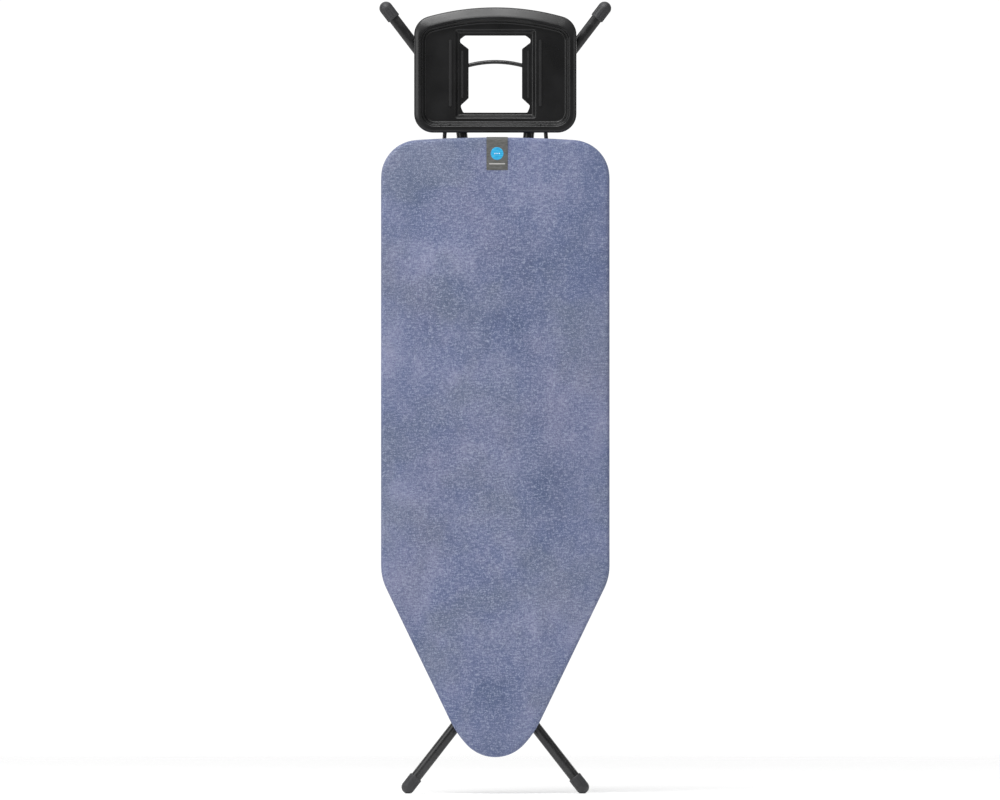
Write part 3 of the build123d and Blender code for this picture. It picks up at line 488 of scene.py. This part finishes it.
# ---------------------------------------------------------------- foam pad
PAD_STEP = 0.014
PAD_SETBACK = 0.0012
PAD_BACK_SHARE = 0.16
PAD_BACK_INSET = 0.0008
PAD_EDGE_INSET = 0.0006


def make_foam_pad():
    """Pad with a rounded front edge; its back is a strip along the edge, open in the middle."""
    outline = full_outline(PAD_STEP)
    inset = HALF_WIDTH - PAD_HIGH.x
    front = PAD_LOW.y + PAD_SETBACK
    back = PAD_HIGH.y
    soft = back - front
    profile = [(inset + PAD_BACK_SHARE * HALF_WIDTH, back), (inset + PAD_BACK_INSET, back)]
    round_edge(profile, (inset + soft + PAD_EDGE_INSET, front + soft), soft, 0, 90, 6)
    points, faces = shell_rings(outline, profile, 12, 0.0)
    made = piece("foam_underlay", points, faces, "foam", replaces=("foam_pad",))
    weld(made, 0.0004)


# ---------------------------------------------------------------- fabric cover
COVER_STEP = 0.0095
COVER_SETBACK = 0.0012
COVER_EDGE = 0.0085
COVER_BACK_EDGE = 0.0035
COVER_BACK_GAP = 0.0006
COVER_CROWN = 0.0008
HEM_RING_STEP = 0.0095
FABRIC_THICKNESS = 0.0007
# the four rings of the hem and the four round its edge
PINNED_RINGS = 8
CLOTH = {
    "quality": 4,
    "mass": 0.25,
    "tension_stiffness": 25,
    "compression_stiffness": 18,
    "shear_stiffness": 8,
    "bending_stiffness": 0.3,
    "use_pressure": True,
    "uniform_pressure_force": 3.0,
    "vertex_group_mass": "pinned",
    "shrink_min": -0.004,
}
CLOTH_FRAMES = 20
# farthest that the cloth pass may move a point
CLOTH_CAP = 0.0022
# gathers of the hem: share of each ring, zones at head and nose, share on the straight sides
HEM_FADE = (1.0, 0.45)
GATHER_HEAD = 0.12
GATHER_NOSE = 0.42
GATHER_SIDES = 0.4
GATHER_DEPTH = 0.0014
GATHER_WAVE = 0.0028


def settle_cover(made, pinned):
    """Short cloth pass without gravity: pressure stands for the foam's spring, hem and edge are pinned."""
    group = made.vertex_groups.new(name="pinned")
    group.add(pinned, 1.0, "REPLACE")
    rest = [v.co.copy() for v in made.data.vertices]
    cloth = made.modifiers.new("cloth", "CLOTH")
    for key, value in CLOTH.items():
        setattr(cloth.settings, key, value)
    cloth.settings.effector_weights.gravity = 0.0
    for number in range(1, CLOTH_FRAMES + 1):
        scene.frame_set(number)
    graph = bpy.context.evaluated_depsgraph_get()
    moved = [v.co.copy() for v in made.evaluated_get(graph).data.vertices]
    made.modifiers.clear()
    scene.frame_set(1)
    for vertex, before, after in zip(made.data.vertices, rest, moved):
        step = after - before
        if step.length > CLOTH_CAP:
            step *= CLOTH_CAP / step.length
        vertex.co = before + step


def make_cover():
    """Fitted cover: front over the foam, rounded edge, side, and a gathered hem turned behind."""
    outline = full_outline(COVER_STEP)
    count = len(outline)
    edge = COVER_EDGE
    back_edge = COVER_BACK_EDGE
    back = BACK_Y - COVER_BACK_GAP
    front = FRONT_Y + COVER_SETBACK
    profile = [(HEM_WIDTH, back - 0.0004)]
    profile += [(HEM_WIDTH - HEM_RING_STEP * i, back) for i in range(1, 4)]
    round_edge(profile, (back_edge, back - back_edge), back_edge, -80, 0, 3)
    profile += [(0.0, front + edge + 0.0065), (0.0, front + edge + 0.003)]
    round_edge(profile, (edge, front + edge), edge, 0, 90, 6)
    profile.append((edge + 0.006, front - 0.0002))
    points, faces = shell_rings(outline, profile, 22, COVER_CROWN)
    made = piece("fabric_cover", points, faces, "cover_blue", replaces=("cover",))
    settle_cover(made, list(range(count * PINNED_RINGS)))
    pucker_hem(made, count)
    weld(made, 0.0003)
    thicken(made, FABRIC_THICKNESS, -1)
    finer = made.modifiers.new("finer", "SUBSURF")
    finer.levels = 1
    finer.render_levels = 1
    apply_modifiers(made)
    smooth(made.data)


def pucker_hem(made, count):
    """Gathers of the turned hem, deepest at its drawn edge and round the head and the nose."""
    for ring, fade in enumerate(HEM_FADE):
        for i in range(count):
            vertex = made.data.vertices[ring * count + i]
            head = (vertex.co.z - HEAD_Z + GATHER_HEAD) / GATHER_HEAD
            nose = (GATHER_NOSE - vertex.co.z) / GATHER_NOSE
            curved = GATHER_SIDES + (1 - GATHER_SIDES) * min(1.0, max(0.0, head, nose))
            wave = math.sin(i * 2.1) * 0.6 + noise.noise(vertex.co * 60) * 0.8
            vertex.co.y -= max(0.0, GATHER_DEPTH + GATHER_WAVE * wave) * fade * curved


# ---------------------------------------------------------------- perforated steel top
MESH_CELL = (0.0200, 0.0095)
MESH_STRAND = 0.0014
MESH_BORDER = 0.016
MESH_SHEET = 0.0010
MESH_BACK_GAP = 0.0002
DIAMOND = ((0.5, 0), (0, 0.5), (-0.5, 0), (0, -0.5))


def make_mesh_sheet():
    """Expanded steel: a lattice of diamonds inside a plain border, with real openings."""
    cell_x, cell_z = MESH_CELL
    shrink_x = 1 - MESH_STRAND * 2.0 / cell_x
    shrink_z = 1 - MESH_STRAND * 1.6 / cell_z
    hole = [(cx * cell_x * shrink_x, cz * cell_z * shrink_z) for cx, cz in DIAMOND]
    inset = HALF_WIDTH - MESH_HIGH.x
    y = MESH_HIGH.y - MESH_BACK_GAP
    work = bmesh.new()
    columns = int(HALF_WIDTH / cell_x) + 1
    rows = int((HEAD_Z - NOSE_Z) / cell_z) + 1
    for shift in (0.0, 0.5):
        for column in range(-columns, columns + 1):
            for row in range(rows + 1):
                x = (column + shift) * cell_x
                z = NOSE_Z + (row + shift) * cell_z
                if not inside_outline(x, z, inset + MESH_BORDER * 0.55):
                    continue
                outer = [work.verts.new((x + cx * cell_x, y, z + cz * cell_z)) for cx, cz in DIAMOND]
                inner = [work.verts.new((x + hx, y, z + hz)) for hx, hz in hole]
                for i in range(4):
                    j = (i + 1) % 4
                    work.faces.new((outer[i], outer[j], inner[j], inner[i]))
    bmesh.ops.remove_doubles(work, verts=work.verts, dist=0.0002)
    outline = full_outline(0.012)
    rings = []
    for ring_inset in (inset, inset + MESH_BORDER):
        ring = [(p[0] - n[0] * ring_inset, y, p[1] - n[1] * ring_inset) for p, n in outline]
        rings.append([work.verts.new(co) for co in ring])
    for i in range(len(outline)):
        j = (i + 1) % len(outline)
        work.faces.new((rings[0][i], rings[0][j], rings[1][j], rings[1][i]))
    bmesh.ops.recalc_face_normals(work, faces=work.faces)
    made = from_bmesh("expanded_mesh", work, "mesh_grey")
    thicken(made, MESH_SHEET, 0)
    apply_modifiers(made)
    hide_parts("mesh_top")
    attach(made, "worktop")


def inside_outline(x, z, margin):
    """True where a point lies inside the worktop outline by a margin."""
    x = abs(x)
    if not NOSE_Z + margin < z < HEAD_Z - margin - x * x / (2 * HEAD_ARCH):
        return False
    if x > half_width_at(z) - margin * math.sqrt(1 + TAPER**2):
        return False
    corner_z = HEAD_Z - HEAD_CORNER
    corner_x = HALF_WIDTH - HEAD_CORNER
    if z > corner_z and x > corner_x:
        return math.hypot(x - corner_x, z - corner_z) < HEAD_CORNER - margin
    nose_z = NOSE_Z + NOSE
    if z < nose_z:
        return math.hypot(x, z - nose_z) < NOSE - margin
    return True


# ---------------------------------------------------------------- steam unit holder
TRAY_LOW, TRAY_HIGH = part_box("holder_tray")
TRAY_ARCH = 0.500
TRAY_CORNER = 0.038
TRAY_WALL = 0.0024
RIM_SIDE, RIM_FOOT, RIM_HEAD = 0.0135, 0.0125, 0.0225
SURROUND = (0.082, 1.3510, 1.5306)
SURROUND_CORNER = 0.005
WINDOW_HALF = (
    (0.0605, 1.5172),
    (0.0702, 1.5100),
    (0.0702, 1.5035),
    (0.0534, 1.4905),
    (0.0534, 1.3920),
    (0.0690, 1.3776),
    (0.0680, 1.3720),
    (0.0640, 1.3633),
)
WINDOW_LIP = ((0.0007, 0.0315), (0.0003, 0.0316), (0.0, 0.0320))
WINDOW_FILLETS = (0.0045, 0.0045, 0.0035, 0.003, 0.003, 0.0035, 0.003, 0.003)
# rim from its skirt to the floor: share of the way in, inset, depth at the head, sides and foot
RIM_ROWS = (
    (0.0, 0.0, 0.0340, 0.0340, 0.0340),
    (0.0, 0.0, 0.0290, 0.0290, 0.0290),
    (0.0, 0.0, 0.0240, 0.0240, 0.0210),
    (0.0, 0.0, 0.0210, 0.0204, 0.0174),
    (0.015, 0.0, 0.0197, 0.0183, 0.0158),
    (0.045, 0.0, 0.0188, 0.0171, 0.0146),
    (0.1, 0.0, 0.0181, 0.0159, 0.0134),
    (0.2, 0.0, 0.0172, 0.0147, 0.0123),
    (0.34, 0.0, 0.0159, 0.0134, 0.0116),
    (0.5, 0.0, 0.0145, 0.0123, 0.0113),
    (0.68, 0.0, 0.0129, 0.0115, 0.0111),
    (0.84, 0.0, 0.0115, 0.0112, 0.0110),
    (0.92, 0.0, 0.0111, 0.0110, 0.0110),
    (0.97, 0.0, 0.0111, 0.0111, 0.0111),
    (1.0, 0.0004, 0.0114, 0.0114, 0.0114),
    (1.0, 0.0010, 0.0120, 0.0120, 0.0120),
    (1.0, 0.0014, 0.0129, 0.0129, 0.0129),
    (1.0, 0.0024, 0.0156, 0.0156, 0.0156),
    (1.0, 0.0029, 0.0163, 0.0163, 0.0163),
    (1.0, 0.0037, 0.0167, 0.0167, 0.0167),
    (1.0, 0.0047, 0.0167, 0.0167, 0.0167),
    (1.0, 0.0054, 0.0170, 0.0170, 0.0170),
    (1.0, 0.0059, 0.0178, 0.0178, 0.0178),
    (1.0, 0.0074, 0.0214, 0.0214, 0.0214),
    (1.0, 0.0080, 0.0228, 0.0228, 0.0228),
    (1.0, 0.0089, 0.0236, 0.0236, 0.0236),
    (1.0, 0.0102, 0.0240, 0.0240, 0.0240),
    (1.0, 0.0125, 0.0240, 0.0240, 0.0240),
)
# funnel from the floor to the window plate: inset, depth
FUNNEL_ROWS = (
    (-0.0015, 0.0240),
    (0.0000, 0.0240),
    (0.0009, 0.0242),
    (0.0018, 0.0248),
    (0.0026, 0.0257),
    (0.0066, 0.0301),
    (0.0074, 0.0309),
    (0.0085, 0.0315),
    (0.0100, 0.0315),
)
CORNER_SHRINK = 0.8
CORNER_LEAST = 0.008
# steps of the rim's loop: foot and sides, their corners, the corners of the head, the head
FOOT_STEPS, SIDE_STEPS, CORNER_STEPS, SHOULDER_STEPS, HEAD_STEPS = 16, 12, 12, 10, 28
TRAY_WELD = 0.00002
TRAY_SHARP_DEGREES = 28
# fine bevel of ribs and hooks
MOULD_EDGE = 0.0004
HOOK_PLACE = (0.068, 1.4549)
HOOK_SIZE = (0.013, 0.016)
HOOK_DEPTHS = (0.0335, 0.044)
HOOK_ROUND = 0.003
HOOK_FRONT_ROUND = 0.0008
HOOK_BORE = 0.0041
WIRE_DEPTH = 0.0375
BOSS_PLACES = [(side * 0.1002 + shift, 1.334) for side in (-1, 1) for shift in (-0.009, 0.009)]
BOSS_PROFILE = ((0.0019, 0.0340), (0.0042, 0.0340), (0.0045, 0.0337), (0.0050, 0.0126))
BOSS_SPOKES = 24
RIB_DEPTHS = (0.0262, 0.0330)
RIB_HALF = 0.0009
# ribs across the floor: from and to X, and their heights; the rib along it: X, from and to Z
RIB_REACH = (0.0845, 0.1385)
RIB_HEIGHTS = (1.372, 1.408, 1.444, 1.480, 1.516)
RIB_ALONG = (0.112, 1.352, 1.536)


def y_at(depth):
    """World Y of a depth behind the foremost face."""
    return FRONT_Y + depth


def arc(centre, radius, start, end, steps):
    """Points of an arc without its last one."""
    return [
        (
            centre[0] + radius * math.cos(start + (end - start) * i / steps),
            centre[1] + radius * math.sin(start + (end - start) * i / steps),
        )
        for i in range(steps)
    ]


def line(start, end, steps):
    """Points of a line without its last one."""
    return [
        (start[0] + (end[0] - start[0]) * i / steps, start[1] + (end[1] - start[1]) * i / steps)
        for i in range(steps)
    ]


def circle(x, z, radius, count):
    """Closed loop of a circle."""
    angles = [2 * math.pi * i / count for i in range(count)]
    return [(x + radius * math.cos(angle), z + radius * math.sin(angle)) for angle in angles]


def tray_loop(share, inset):
    """Outline and directions of the rim, from its outer edge (share 0) to its inner edge (share 1)."""
    half = TRAY_HIGH.x - share * RIM_SIDE - inset
    bottom = TRAY_LOW.z + share * RIM_FOOT + inset
    top = TRAY_HIGH.z - share * RIM_HEAD - inset
    corner = max(TRAY_CORNER - CORNER_SHRINK * share * RIM_SIDE - CORNER_SHRINK * inset, CORNER_LEAST)
    arch = TRAY_ARCH - share * RIM_HEAD - inset
    arch_z = top - arch
    corner_z = arch_z + math.sqrt((arch - corner) ** 2 - (half - corner) ** 2)
    lean = math.atan2(corner_z - arch_z, half - corner)
    points = line((-half + corner, bottom), (half - corner, bottom), FOOT_STEPS)
    points += arc((half - corner, bottom + corner), corner, -math.pi / 2, 0, CORNER_STEPS)
    points += line((half, bottom + corner), (half, corner_z), SIDE_STEPS)
    points += arc((half - corner, corner_z), corner, 0, lean, SHOULDER_STEPS)
    points += arc((0, arch_z), arch, lean, math.pi - lean, HEAD_STEPS)
    points += arc((corner - half, corner_z), corner, math.pi - lean, math.pi, SHOULDER_STEPS)
    points += line((-half, corner_z), (-half, bottom + corner), SIDE_STEPS)
    points += arc((corner - half, bottom + corner), corner, math.pi, 1.5 * math.pi, CORNER_STEPS)
    facing = [(0, -1)] * FOOT_STEPS + turns(-math.pi / 2, 0, CORNER_STEPS)
    facing += [(1, 0)] * SIDE_STEPS + turns(0, lean, SHOULDER_STEPS)
    facing += turns(lean, math.pi - lean, HEAD_STEPS)
    facing += turns(math.pi - lean, math.pi, SHOULDER_STEPS) + [(-1, 0)] * SIDE_STEPS
    facing += turns(math.pi, 1.5 * math.pi, CORNER_STEPS)
    return points, facing


def turns(start, end, steps):
    """Unit directions along an arc without its last one."""
    return arc((0, 0), 1, start, end, steps)


def rim_loop(share, inset, head, side, foot):
    """One loop of the rim as 3-D points; its depth blends the head, side and foot sections."""
    points, facing = tray_loop(share, inset)
    made = []
    for (x, z), (way_x, way_z) in zip(points, facing):
        depth = side * way_x**2 + (head if way_z > 0 else foot) * way_z**2
        made.append((x, y_at(depth), z))
    return made


def level_loop(points, depth):
    return [(x, y_at(depth), z) for x, z in points]


def rounded_rectangle(half, low, high, corner):
    """Closed loop between two heights, half wide to each side."""
    points = []
    centres = ((1, low, -0.5), (1, high, 0.0), (-1, high, 0.5), (-1, low, 1.0))
    for side, z, turn in centres:
        centre = (side * (half - corner), z + (corner if z == low else -corner))
        start = turn * math.pi
        end = start + math.pi / 2
        points += arc(centre, corner, start, end, 8)
        points.append((centre[0] + corner * math.cos(end), centre[1] + corner * math.sin(end)))
    return points


def fillet_loop(corners, radii, steps):
    """Closed polygon with its corners rounded."""
    points = []
    count = len(corners)
    for i in range(count):
        before, corner, after = (Vector(corners[(i + k) % count]) for k in (-1, 0, 1))
        to_before = (before - corner).normalized()
        to_after = (after - corner).normalized()
        half = to_before.angle(to_after) / 2
        cut = radii[i] / math.tan(half)
        centre = corner + (to_before + to_after).normalized() * (radii[i] / math.sin(half))
        start = corner + to_before * cut - centre
        end = corner + to_after * cut - centre
        for k in range(steps + 1):
            blend = start.lerp(end, k / steps).normalized() * radii[i]
            points.append(tuple(centre + blend))
    return points


def grown_loop(loop, distance):
    """Closed loop moved outwards by a distance along its corner normals."""
    made = []
    count = len(loop)
    for i in range(count):
        before, here, after = (Vector(loop[(i + k) % count]) for k in (-1, 0, 1))
        way = (after - before).normalized()
        made.append((here.x + way.y * distance, here.y - way.x * distance))
    return made


def add_loops(work, loops):
    """Joins closed loops of 3-D points into a band of faces; gives the first and last edge rings."""
    rings = [[work.verts.new(point) for point in loop] for loop in loops]
    for inner, outer in zip(rings, rings[1:]):
        count = len(inner)
        for i in range(count):
            j = (i + 1) % count
            work.faces.new((inner[i], inner[j], outer[j], outer[i]))
    edges = []
    for ring in (rings[0], rings[-1]):
        edges.append([work.edges.get((ring[i], ring[(i + 1) % len(ring)])) for i in range(len(ring))])
    return edges


def fill_between(work, first, second):
    """Flat face between two closed edge rings."""
    bmesh.ops.triangle_fill(work, edges=first + second, use_beauty=True)


def make_tray():
    """Moulded shell: skirt, sloped rim, stepped inner wall, floor, funnel and window plate."""
    work = bmesh.new()
    outer = add_loops(work, [rim_loop(*row) for row in RIM_ROWS])
    half, low, high = SURROUND
    loops = []
    for inset, depth in FUNNEL_ROWS:
        corner = max(SURROUND_CORNER - inset * 0.4, 0.001)
        shape = rounded_rectangle(half - inset, low + inset, high - inset, corner)
        loops.append(level_loop(shape, depth))
    middle = add_loops(work, loops)
    fill_between(work, outer[1], middle[0])
    corners = list(WINDOW_HALF) + [(-x, z) for x, z in reversed(WINDOW_HALF)]
    radii = list(WINDOW_FILLETS) + list(reversed(WINDOW_FILLETS))
    window = fillet_loop(list(reversed(corners)), list(reversed(radii)), 4)
    lip = [level_loop(grown_loop(window, grow), depth) for grow, depth in WINDOW_LIP]
    inner = add_loops(work, lip)
    fill_between(work, middle[1], inner[0])
    bmesh.ops.remove_doubles(work, verts=work.verts, dist=TRAY_WELD)
    bmesh.ops.recalc_face_normals(work, faces=work.faces)
    widest = max(work.faces, key=lambda face: face.calc_area())
    if widest.normal.y > 0:
        bmesh.ops.reverse_faces(work, faces=work.faces)
    shell = from_bmesh("holder_shell", work, "tray_black")
    thicken(shell, TRAY_WALL, -1).use_even_offset = True
    apply_modifiers(shell)
    shade(shell, TRAY_SHARP_DEGREES)
    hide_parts("holder_tray")
    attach(shell, "worktop")
    make_tray_ribs()
    make_tray_hooks()
    make_tray_bosses()


def box_points(low, high):
    """Corners and faces of a block, to join into a bigger mesh."""
    xs, ys, zs = zip(low, high)
    points = [(x, y, z) for x in xs for y in ys for z in zs]
    faces = [(0, 1, 3, 2), (4, 6, 7, 5), (0, 4, 5, 1), (2, 3, 7, 6), (0, 2, 6, 4), (1, 5, 7, 3)]
    return points, faces


def make_tray_ribs():
    """Stiffening ribs behind the floor, left and right of the window."""
    points, faces = [], []
    near, far = (y_at(depth) for depth in RIB_DEPTHS)
    blocks = []
    along_x, along_low, along_high = RIB_ALONG
    for side in (-1, 1):
        for z in RIB_HEIGHTS:
            ends = sorted(side * x for x in RIB_REACH)
            blocks.append(((ends[0], near, z - RIB_HALF), (ends[1], far, z + RIB_HALF)))
        x = side * along_x
        blocks.append(((x - RIB_HALF, near, along_low), (x + RIB_HALF, far, along_high)))
    for low, high in blocks:
        more, quads = box_points(low, high)
        faces += [tuple(i + len(points) for i in quad) for quad in quads]
        points += more
    bevelled(piece("holder_ribs", points, faces, "tray_black"), MOULD_EDGE)


def make_tray_hooks():
    """Two eyes behind the holder that carry the arched wire."""
    width, height = HOOK_SIZE
    near, far = (y_at(depth) for depth in HOOK_DEPTHS)
    wire_y = y_at(WIRE_DEPTH)
    outer = []
    for corner_y, corner_z, turn in ((far, -1, -0.5), (far, 1, 0.0), (near, 1, 0.5), (near, -1, 1.0)):
        radius = HOOK_ROUND if corner_y == far else HOOK_FRONT_ROUND
        inwards = -radius if corner_y == far else radius
        centre = (corner_y + inwards, corner_z * (height / 2 - radius))
        for i in range(6):
            angle = (turn + 0.1 * i) * math.pi
            outer.append((centre[0] + radius * math.cos(angle), centre[1] + radius * math.sin(angle)))
    count = len(outer)
    hole = []
    for y, z in outer:
        angle = math.atan2(z, y - wire_y)
        hole.append((wire_y + HOOK_BORE * math.cos(angle), HOOK_BORE * math.sin(angle)))
    for side in (-1, 1):
        points = []
        for x in (-width / 2, width / 2):
            for y, z in outer + hole:
                points.append((side * HOOK_PLACE[0] + x, y, HOOK_PLACE[1] + z))
        faces = []
        row = 2 * count
        for i in range(count):
            j = (i + 1) % count
            faces.append((i, j, row + j, row + i))
            faces.append((count + j, count + i, row + count + i, row + count + j))
            faces.append((j, i, count + i, count + j))
            faces.append((row + i, row + j, row + count + j, row + count + i))
        name = "left" if side < 0 else "right"
        bevelled(piece(f"holder_hook_{name}", points, faces, "tray_black"), MOULD_EDGE)


def make_tray_bosses():
    """Screw bosses in the hollow of the bottom rim."""
    points, faces = [], []
    spokes = BOSS_SPOKES
    for x, z in BOSS_PLACES:
        base = len(points)
        for radius, depth in BOSS_PROFILE:
            points += level_loop(circle(x, z, radius, spokes), depth)
        last = len(points) - spokes
        for ring in range(base, last, spokes):
            faces += band(ring, ring + spokes, spokes)
        faces.append(tuple(base + i for i in range(spokes - 1, -1, -1)))
        faces.append(tuple(last + i for i in range(spokes)))
    shade(piece("holder_bosses", points, faces, "tray_black"), SHARP_DEGREES)


# ---------------------------------------------------------------- tag over the head edge
TAG_THICKNESS = 0.0007
TAG_LIFT = 0.0006
TAG_SETBACK = 0.0004
TAG_BACK = 0.020
TAG_EDGE = 0.0002
TAG_FRONT_ROWS, TAG_BEND_ROWS, TAG_COLUMNS = 11, 8, 12
DISC_RISE = 0.0330
DISC_RADIUS = 0.0128
DOT_SHIFTS = (-0.0045, 0.0, 0.0045)
DOT_RADIUS = 0.0011
BAR_DROP = 0.0205
BAR_HALF = 0.0150
BAR_RADIUS = 0.0011
DISC_THREAD, DOT_THREAD, BAR_THREAD = 0.0004, 0.0002, 0.0003
# rings of a patch of thread: share of its outline, share of its thickness
PATCH_ROWS = ((1.0, 0.0), (0.97, 0.7), (0.85, 0.95), (0.5, 1.0))


def make_tag():
    """Woven tag folded over the head edge; gives the Y of its outer face."""
    bend_radius = COVER_EDGE + TAG_LIFT
    bend_z = HEAD_Z - COVER_EDGE
    front = FRONT_Y + TAG_SETBACK - TAG_LIFT
    # rows of Y, Z and how far the row follows the arch of the head
    path = []
    for i in range(TAG_FRONT_ROWS + 1):
        path.append((front, TAG_LOW.z + (bend_z - TAG_LOW.z) * i / TAG_FRONT_ROWS, 0.0))
    for i in range(1, TAG_BEND_ROWS + 1):
        angle = math.radians(90 * i / TAG_BEND_ROWS)
        y = front + bend_radius * (1 - math.cos(angle))
        path.append((y, bend_z + bend_radius * math.sin(angle), 1.0))
    path.append((FRONT_Y + TAG_BACK, HEAD_Z + TAG_LIFT, 1.0))
    points, faces = [], []
    for y, z, bend in path:
        for i in range(TAG_COLUMNS + 1):
            x = TAG_LOW.x + (TAG_HIGH.x - TAG_LOW.x) * i / TAG_COLUMNS
            drop = x * x / (2 * HEAD_ARCH)
            points.append((x, y, z - drop * bend))
    row = TAG_COLUMNS + 1
    for j in range(len(path) - 1):
        for i in range(TAG_COLUMNS):
            a = j * row + i
            faces.append((a, a + 1, a + row + 1, a + row))
    made = piece("cover_tag", points, faces, "label_grey", replaces=("cover_label",))
    thicken(made, TAG_THICKNESS, 0)
    bevel = made.modifiers.new("edge", "BEVEL")
    bevel.width = TAG_EDGE
    bevel.segments = 2
    apply_modifiers(made)
    return front - TAG_THICKNESS / 2


def flat_patch(name, outline, y, thick, material):
    """Slightly domed patch of thread on the tag."""
    count = len(outline)
    cx = sum(p[0] for p in outline) / count
    cz = sum(p[1] for p in outline) / count
    points, faces = [], []
    for scale, rise in PATCH_ROWS:
        points += [(cx + (x - cx) * scale, y - thick * rise, cz + (z - cz) * scale) for x, z in outline]
    last = len(points) - count
    points.append((cx, y - thick, cz))
    for ring in range(0, last, count):
        faces += band(ring, ring + count, count)
    for i in range(count):
        faces.append((last + i, last + (i + 1) % count, last + count))
    faces.append(tuple(range(count - 1, -1, -1)))
    made = piece(name, points, faces, "label_grey")
    made.data.materials.clear()
    made.data.materials.append(material)


def make_tag_marks(surface_y):
    """Plain disc with three dots and a stitched bar on the face of the tag."""
    centre_x = (TAG_LOW.x + TAG_HIGH.x) / 2
    disc_z = TAG_LOW.z + DISC_RISE
    blue = make_woven("tag_disc_thread", linear(38, 150, 205), linear(60, 182, 226), 0.0005)
    white = make_woven("tag_white_thread", linear(225, 235, 240), linear(245, 248, 250), 0.0004)
    grey = make_woven("tag_bar_thread", linear(176, 176, 174), linear(196, 196, 194), 0.0005)
    disc = circle(centre_x, disc_z, DISC_RADIUS, 48)
    flat_patch("tag_disc", disc, surface_y, DISC_THREAD, blue)
    for index, shift in enumerate(DOT_SHIFTS):
        dot = circle(centre_x + shift, disc_z, DOT_RADIUS, 16)
        flat_patch(f"tag_dot_{index + 1}", dot, surface_y - DISC_THREAD, DOT_THREAD, white)
    bar_z = disc_z - BAR_DROP
    bar = []
    for side, start in ((1, -90), (-1, 90)):
        end_x = centre_x + side * BAR_HALF
        for i in range(9):
            angle = math.radians(start + 180 * i / 8)
            bar.append((end_x + BAR_RADIUS * math.cos(angle), bar_z + BAR_RADIUS * math.sin(angle)))
    flat_patch("tag_bar", bar, surface_y, BAR_THREAD, grey)


# ---------------------------------------------------------------- stage and light
FLOOR_SOLID = 1.0
FLOOR_RADIUS = 5.0
FLOOR_GLOW = 0.24
FLOOR_RINGS, FLOOR_SPOKES = 8, 64
# brightness of the white surround, for the camera and for everything else
SURROUND_SEEN = 1.05
SURROUND_LIGHT = 0.25
# name, place, target, size and glow of each soft box
SOFT_BOXES = (
    ("ceiling", (-0.6, -0.4, 4.2), (0, 0, 0), (6.0, 5.0), 1.3),
    ("top_strip", (-0.7, -2.2, 4.3), (0, 0, 1.4), (2.4, 1.2), 10.0),
    ("left", (-2.9, -2.0, 1.9), (0, 0, 1.2), (2.8, 2.2), 2.3),
    ("right", (3.4, -1.7, 1.2), (0, 0, 0.8), (0.8, 2.4), 1.9),
    ("back_left", (-2.6, 3.2, 1.8), (0, 0, 0.8), (1.6, 2.0), 1.6),
    ("back_right", (2.6, 3.2, 1.8), (0, 0, 0.8), (1.6, 2.0), 1.6),
)


def make_stage():
    """White floor that fades out into the white surround."""
    white = Shader("stage_white", (0.86, 0.86, 0.86), 0.9, specular=0.0)
    tone = white.noise(0.5, 1.0)
    white.link(white.ramp(tone, ((0.3, (0.85, 0.85, 0.85)), (0.7, (0.87, 0.87, 0.87)))), "Base Color")
    reach = white.node("ShaderNodeVectorMath", {0: white.place}, operation="LENGTH").outputs["Value"]
    white.link(white.span(reach, FLOOR_SOLID, FLOOR_RADIUS, 1.0, 0.0), "Alpha")
    white.set("Emission Color", (1, 1, 1, 1))
    white.set("Emission Strength", FLOOR_GLOW)
    rings, spokes = FLOOR_RINGS, FLOOR_SPOKES
    points = [(0, 0, 0)]
    for ring in range(1, rings + 1):
        points += [(x, y, 0) for x, y in circle(0, 0, FLOOR_RADIUS * ring / rings, spokes)]
    faces = [(0, 1 + i, 1 + (i + 1) % spokes) for i in range(spokes)]
    for ring in range(rings - 1):
        a = 1 + ring * spokes
        for i in range(spokes):
            j = (i + 1) % spokes
            faces.append((a + i, a + spokes + i, a + spokes + j, a + j))
    mesh = bpy.data.meshes.new("floor")
    mesh.from_pydata(points, [], faces)
    mesh.materials.append(white.material)
    floor = new_object("floor", mesh)


def add_light(name, place, target, size, glow):
    """Rectangular soft box; glow is the brightness of its face."""
    data = bpy.data.lights.new(name, "AREA")
    data.shape = "RECTANGLE"
    data.size, data.size_y = size
    data.energy = glow * math.pi * size[0] * size[1]
    light = new_object(name, data)
    light.location = place
    light.rotation_euler = (Vector(target) - Vector(place)).to_track_quat("-Z", "Y").to_euler()


def make_light():
    """White surround for the camera, dim for everything else, and soft boxes above and beside."""
    world = bpy.data.worlds.new("world")
    world.use_nodes = True
    tree = world.node_tree
    ray = tree.nodes.new("ShaderNodeLightPath")
    glow = tree.nodes.new("ShaderNodeMapRange")
    glow.inputs["To Min"].default_value = SURROUND_LIGHT
    glow.inputs["To Max"].default_value = SURROUND_SEEN
    tree.links.new(ray.outputs["Is Camera Ray"], glow.inputs["Value"])
    tree.links.new(glow.outputs["Result"], tree.nodes["Background"].inputs["Strength"])
    tree.nodes["Background"].inputs["Color"].default_value = (1, 1, 1, 1)
    scene.world = world
    for name, place, target, size, strength in SOFT_BOXES:
        add_light(name, place, target, size, strength)


make_foam_pad()
make_cover()
make_mesh_sheet()
make_tag_marks(make_tag())
make_tray()
make_stage()
make_light()
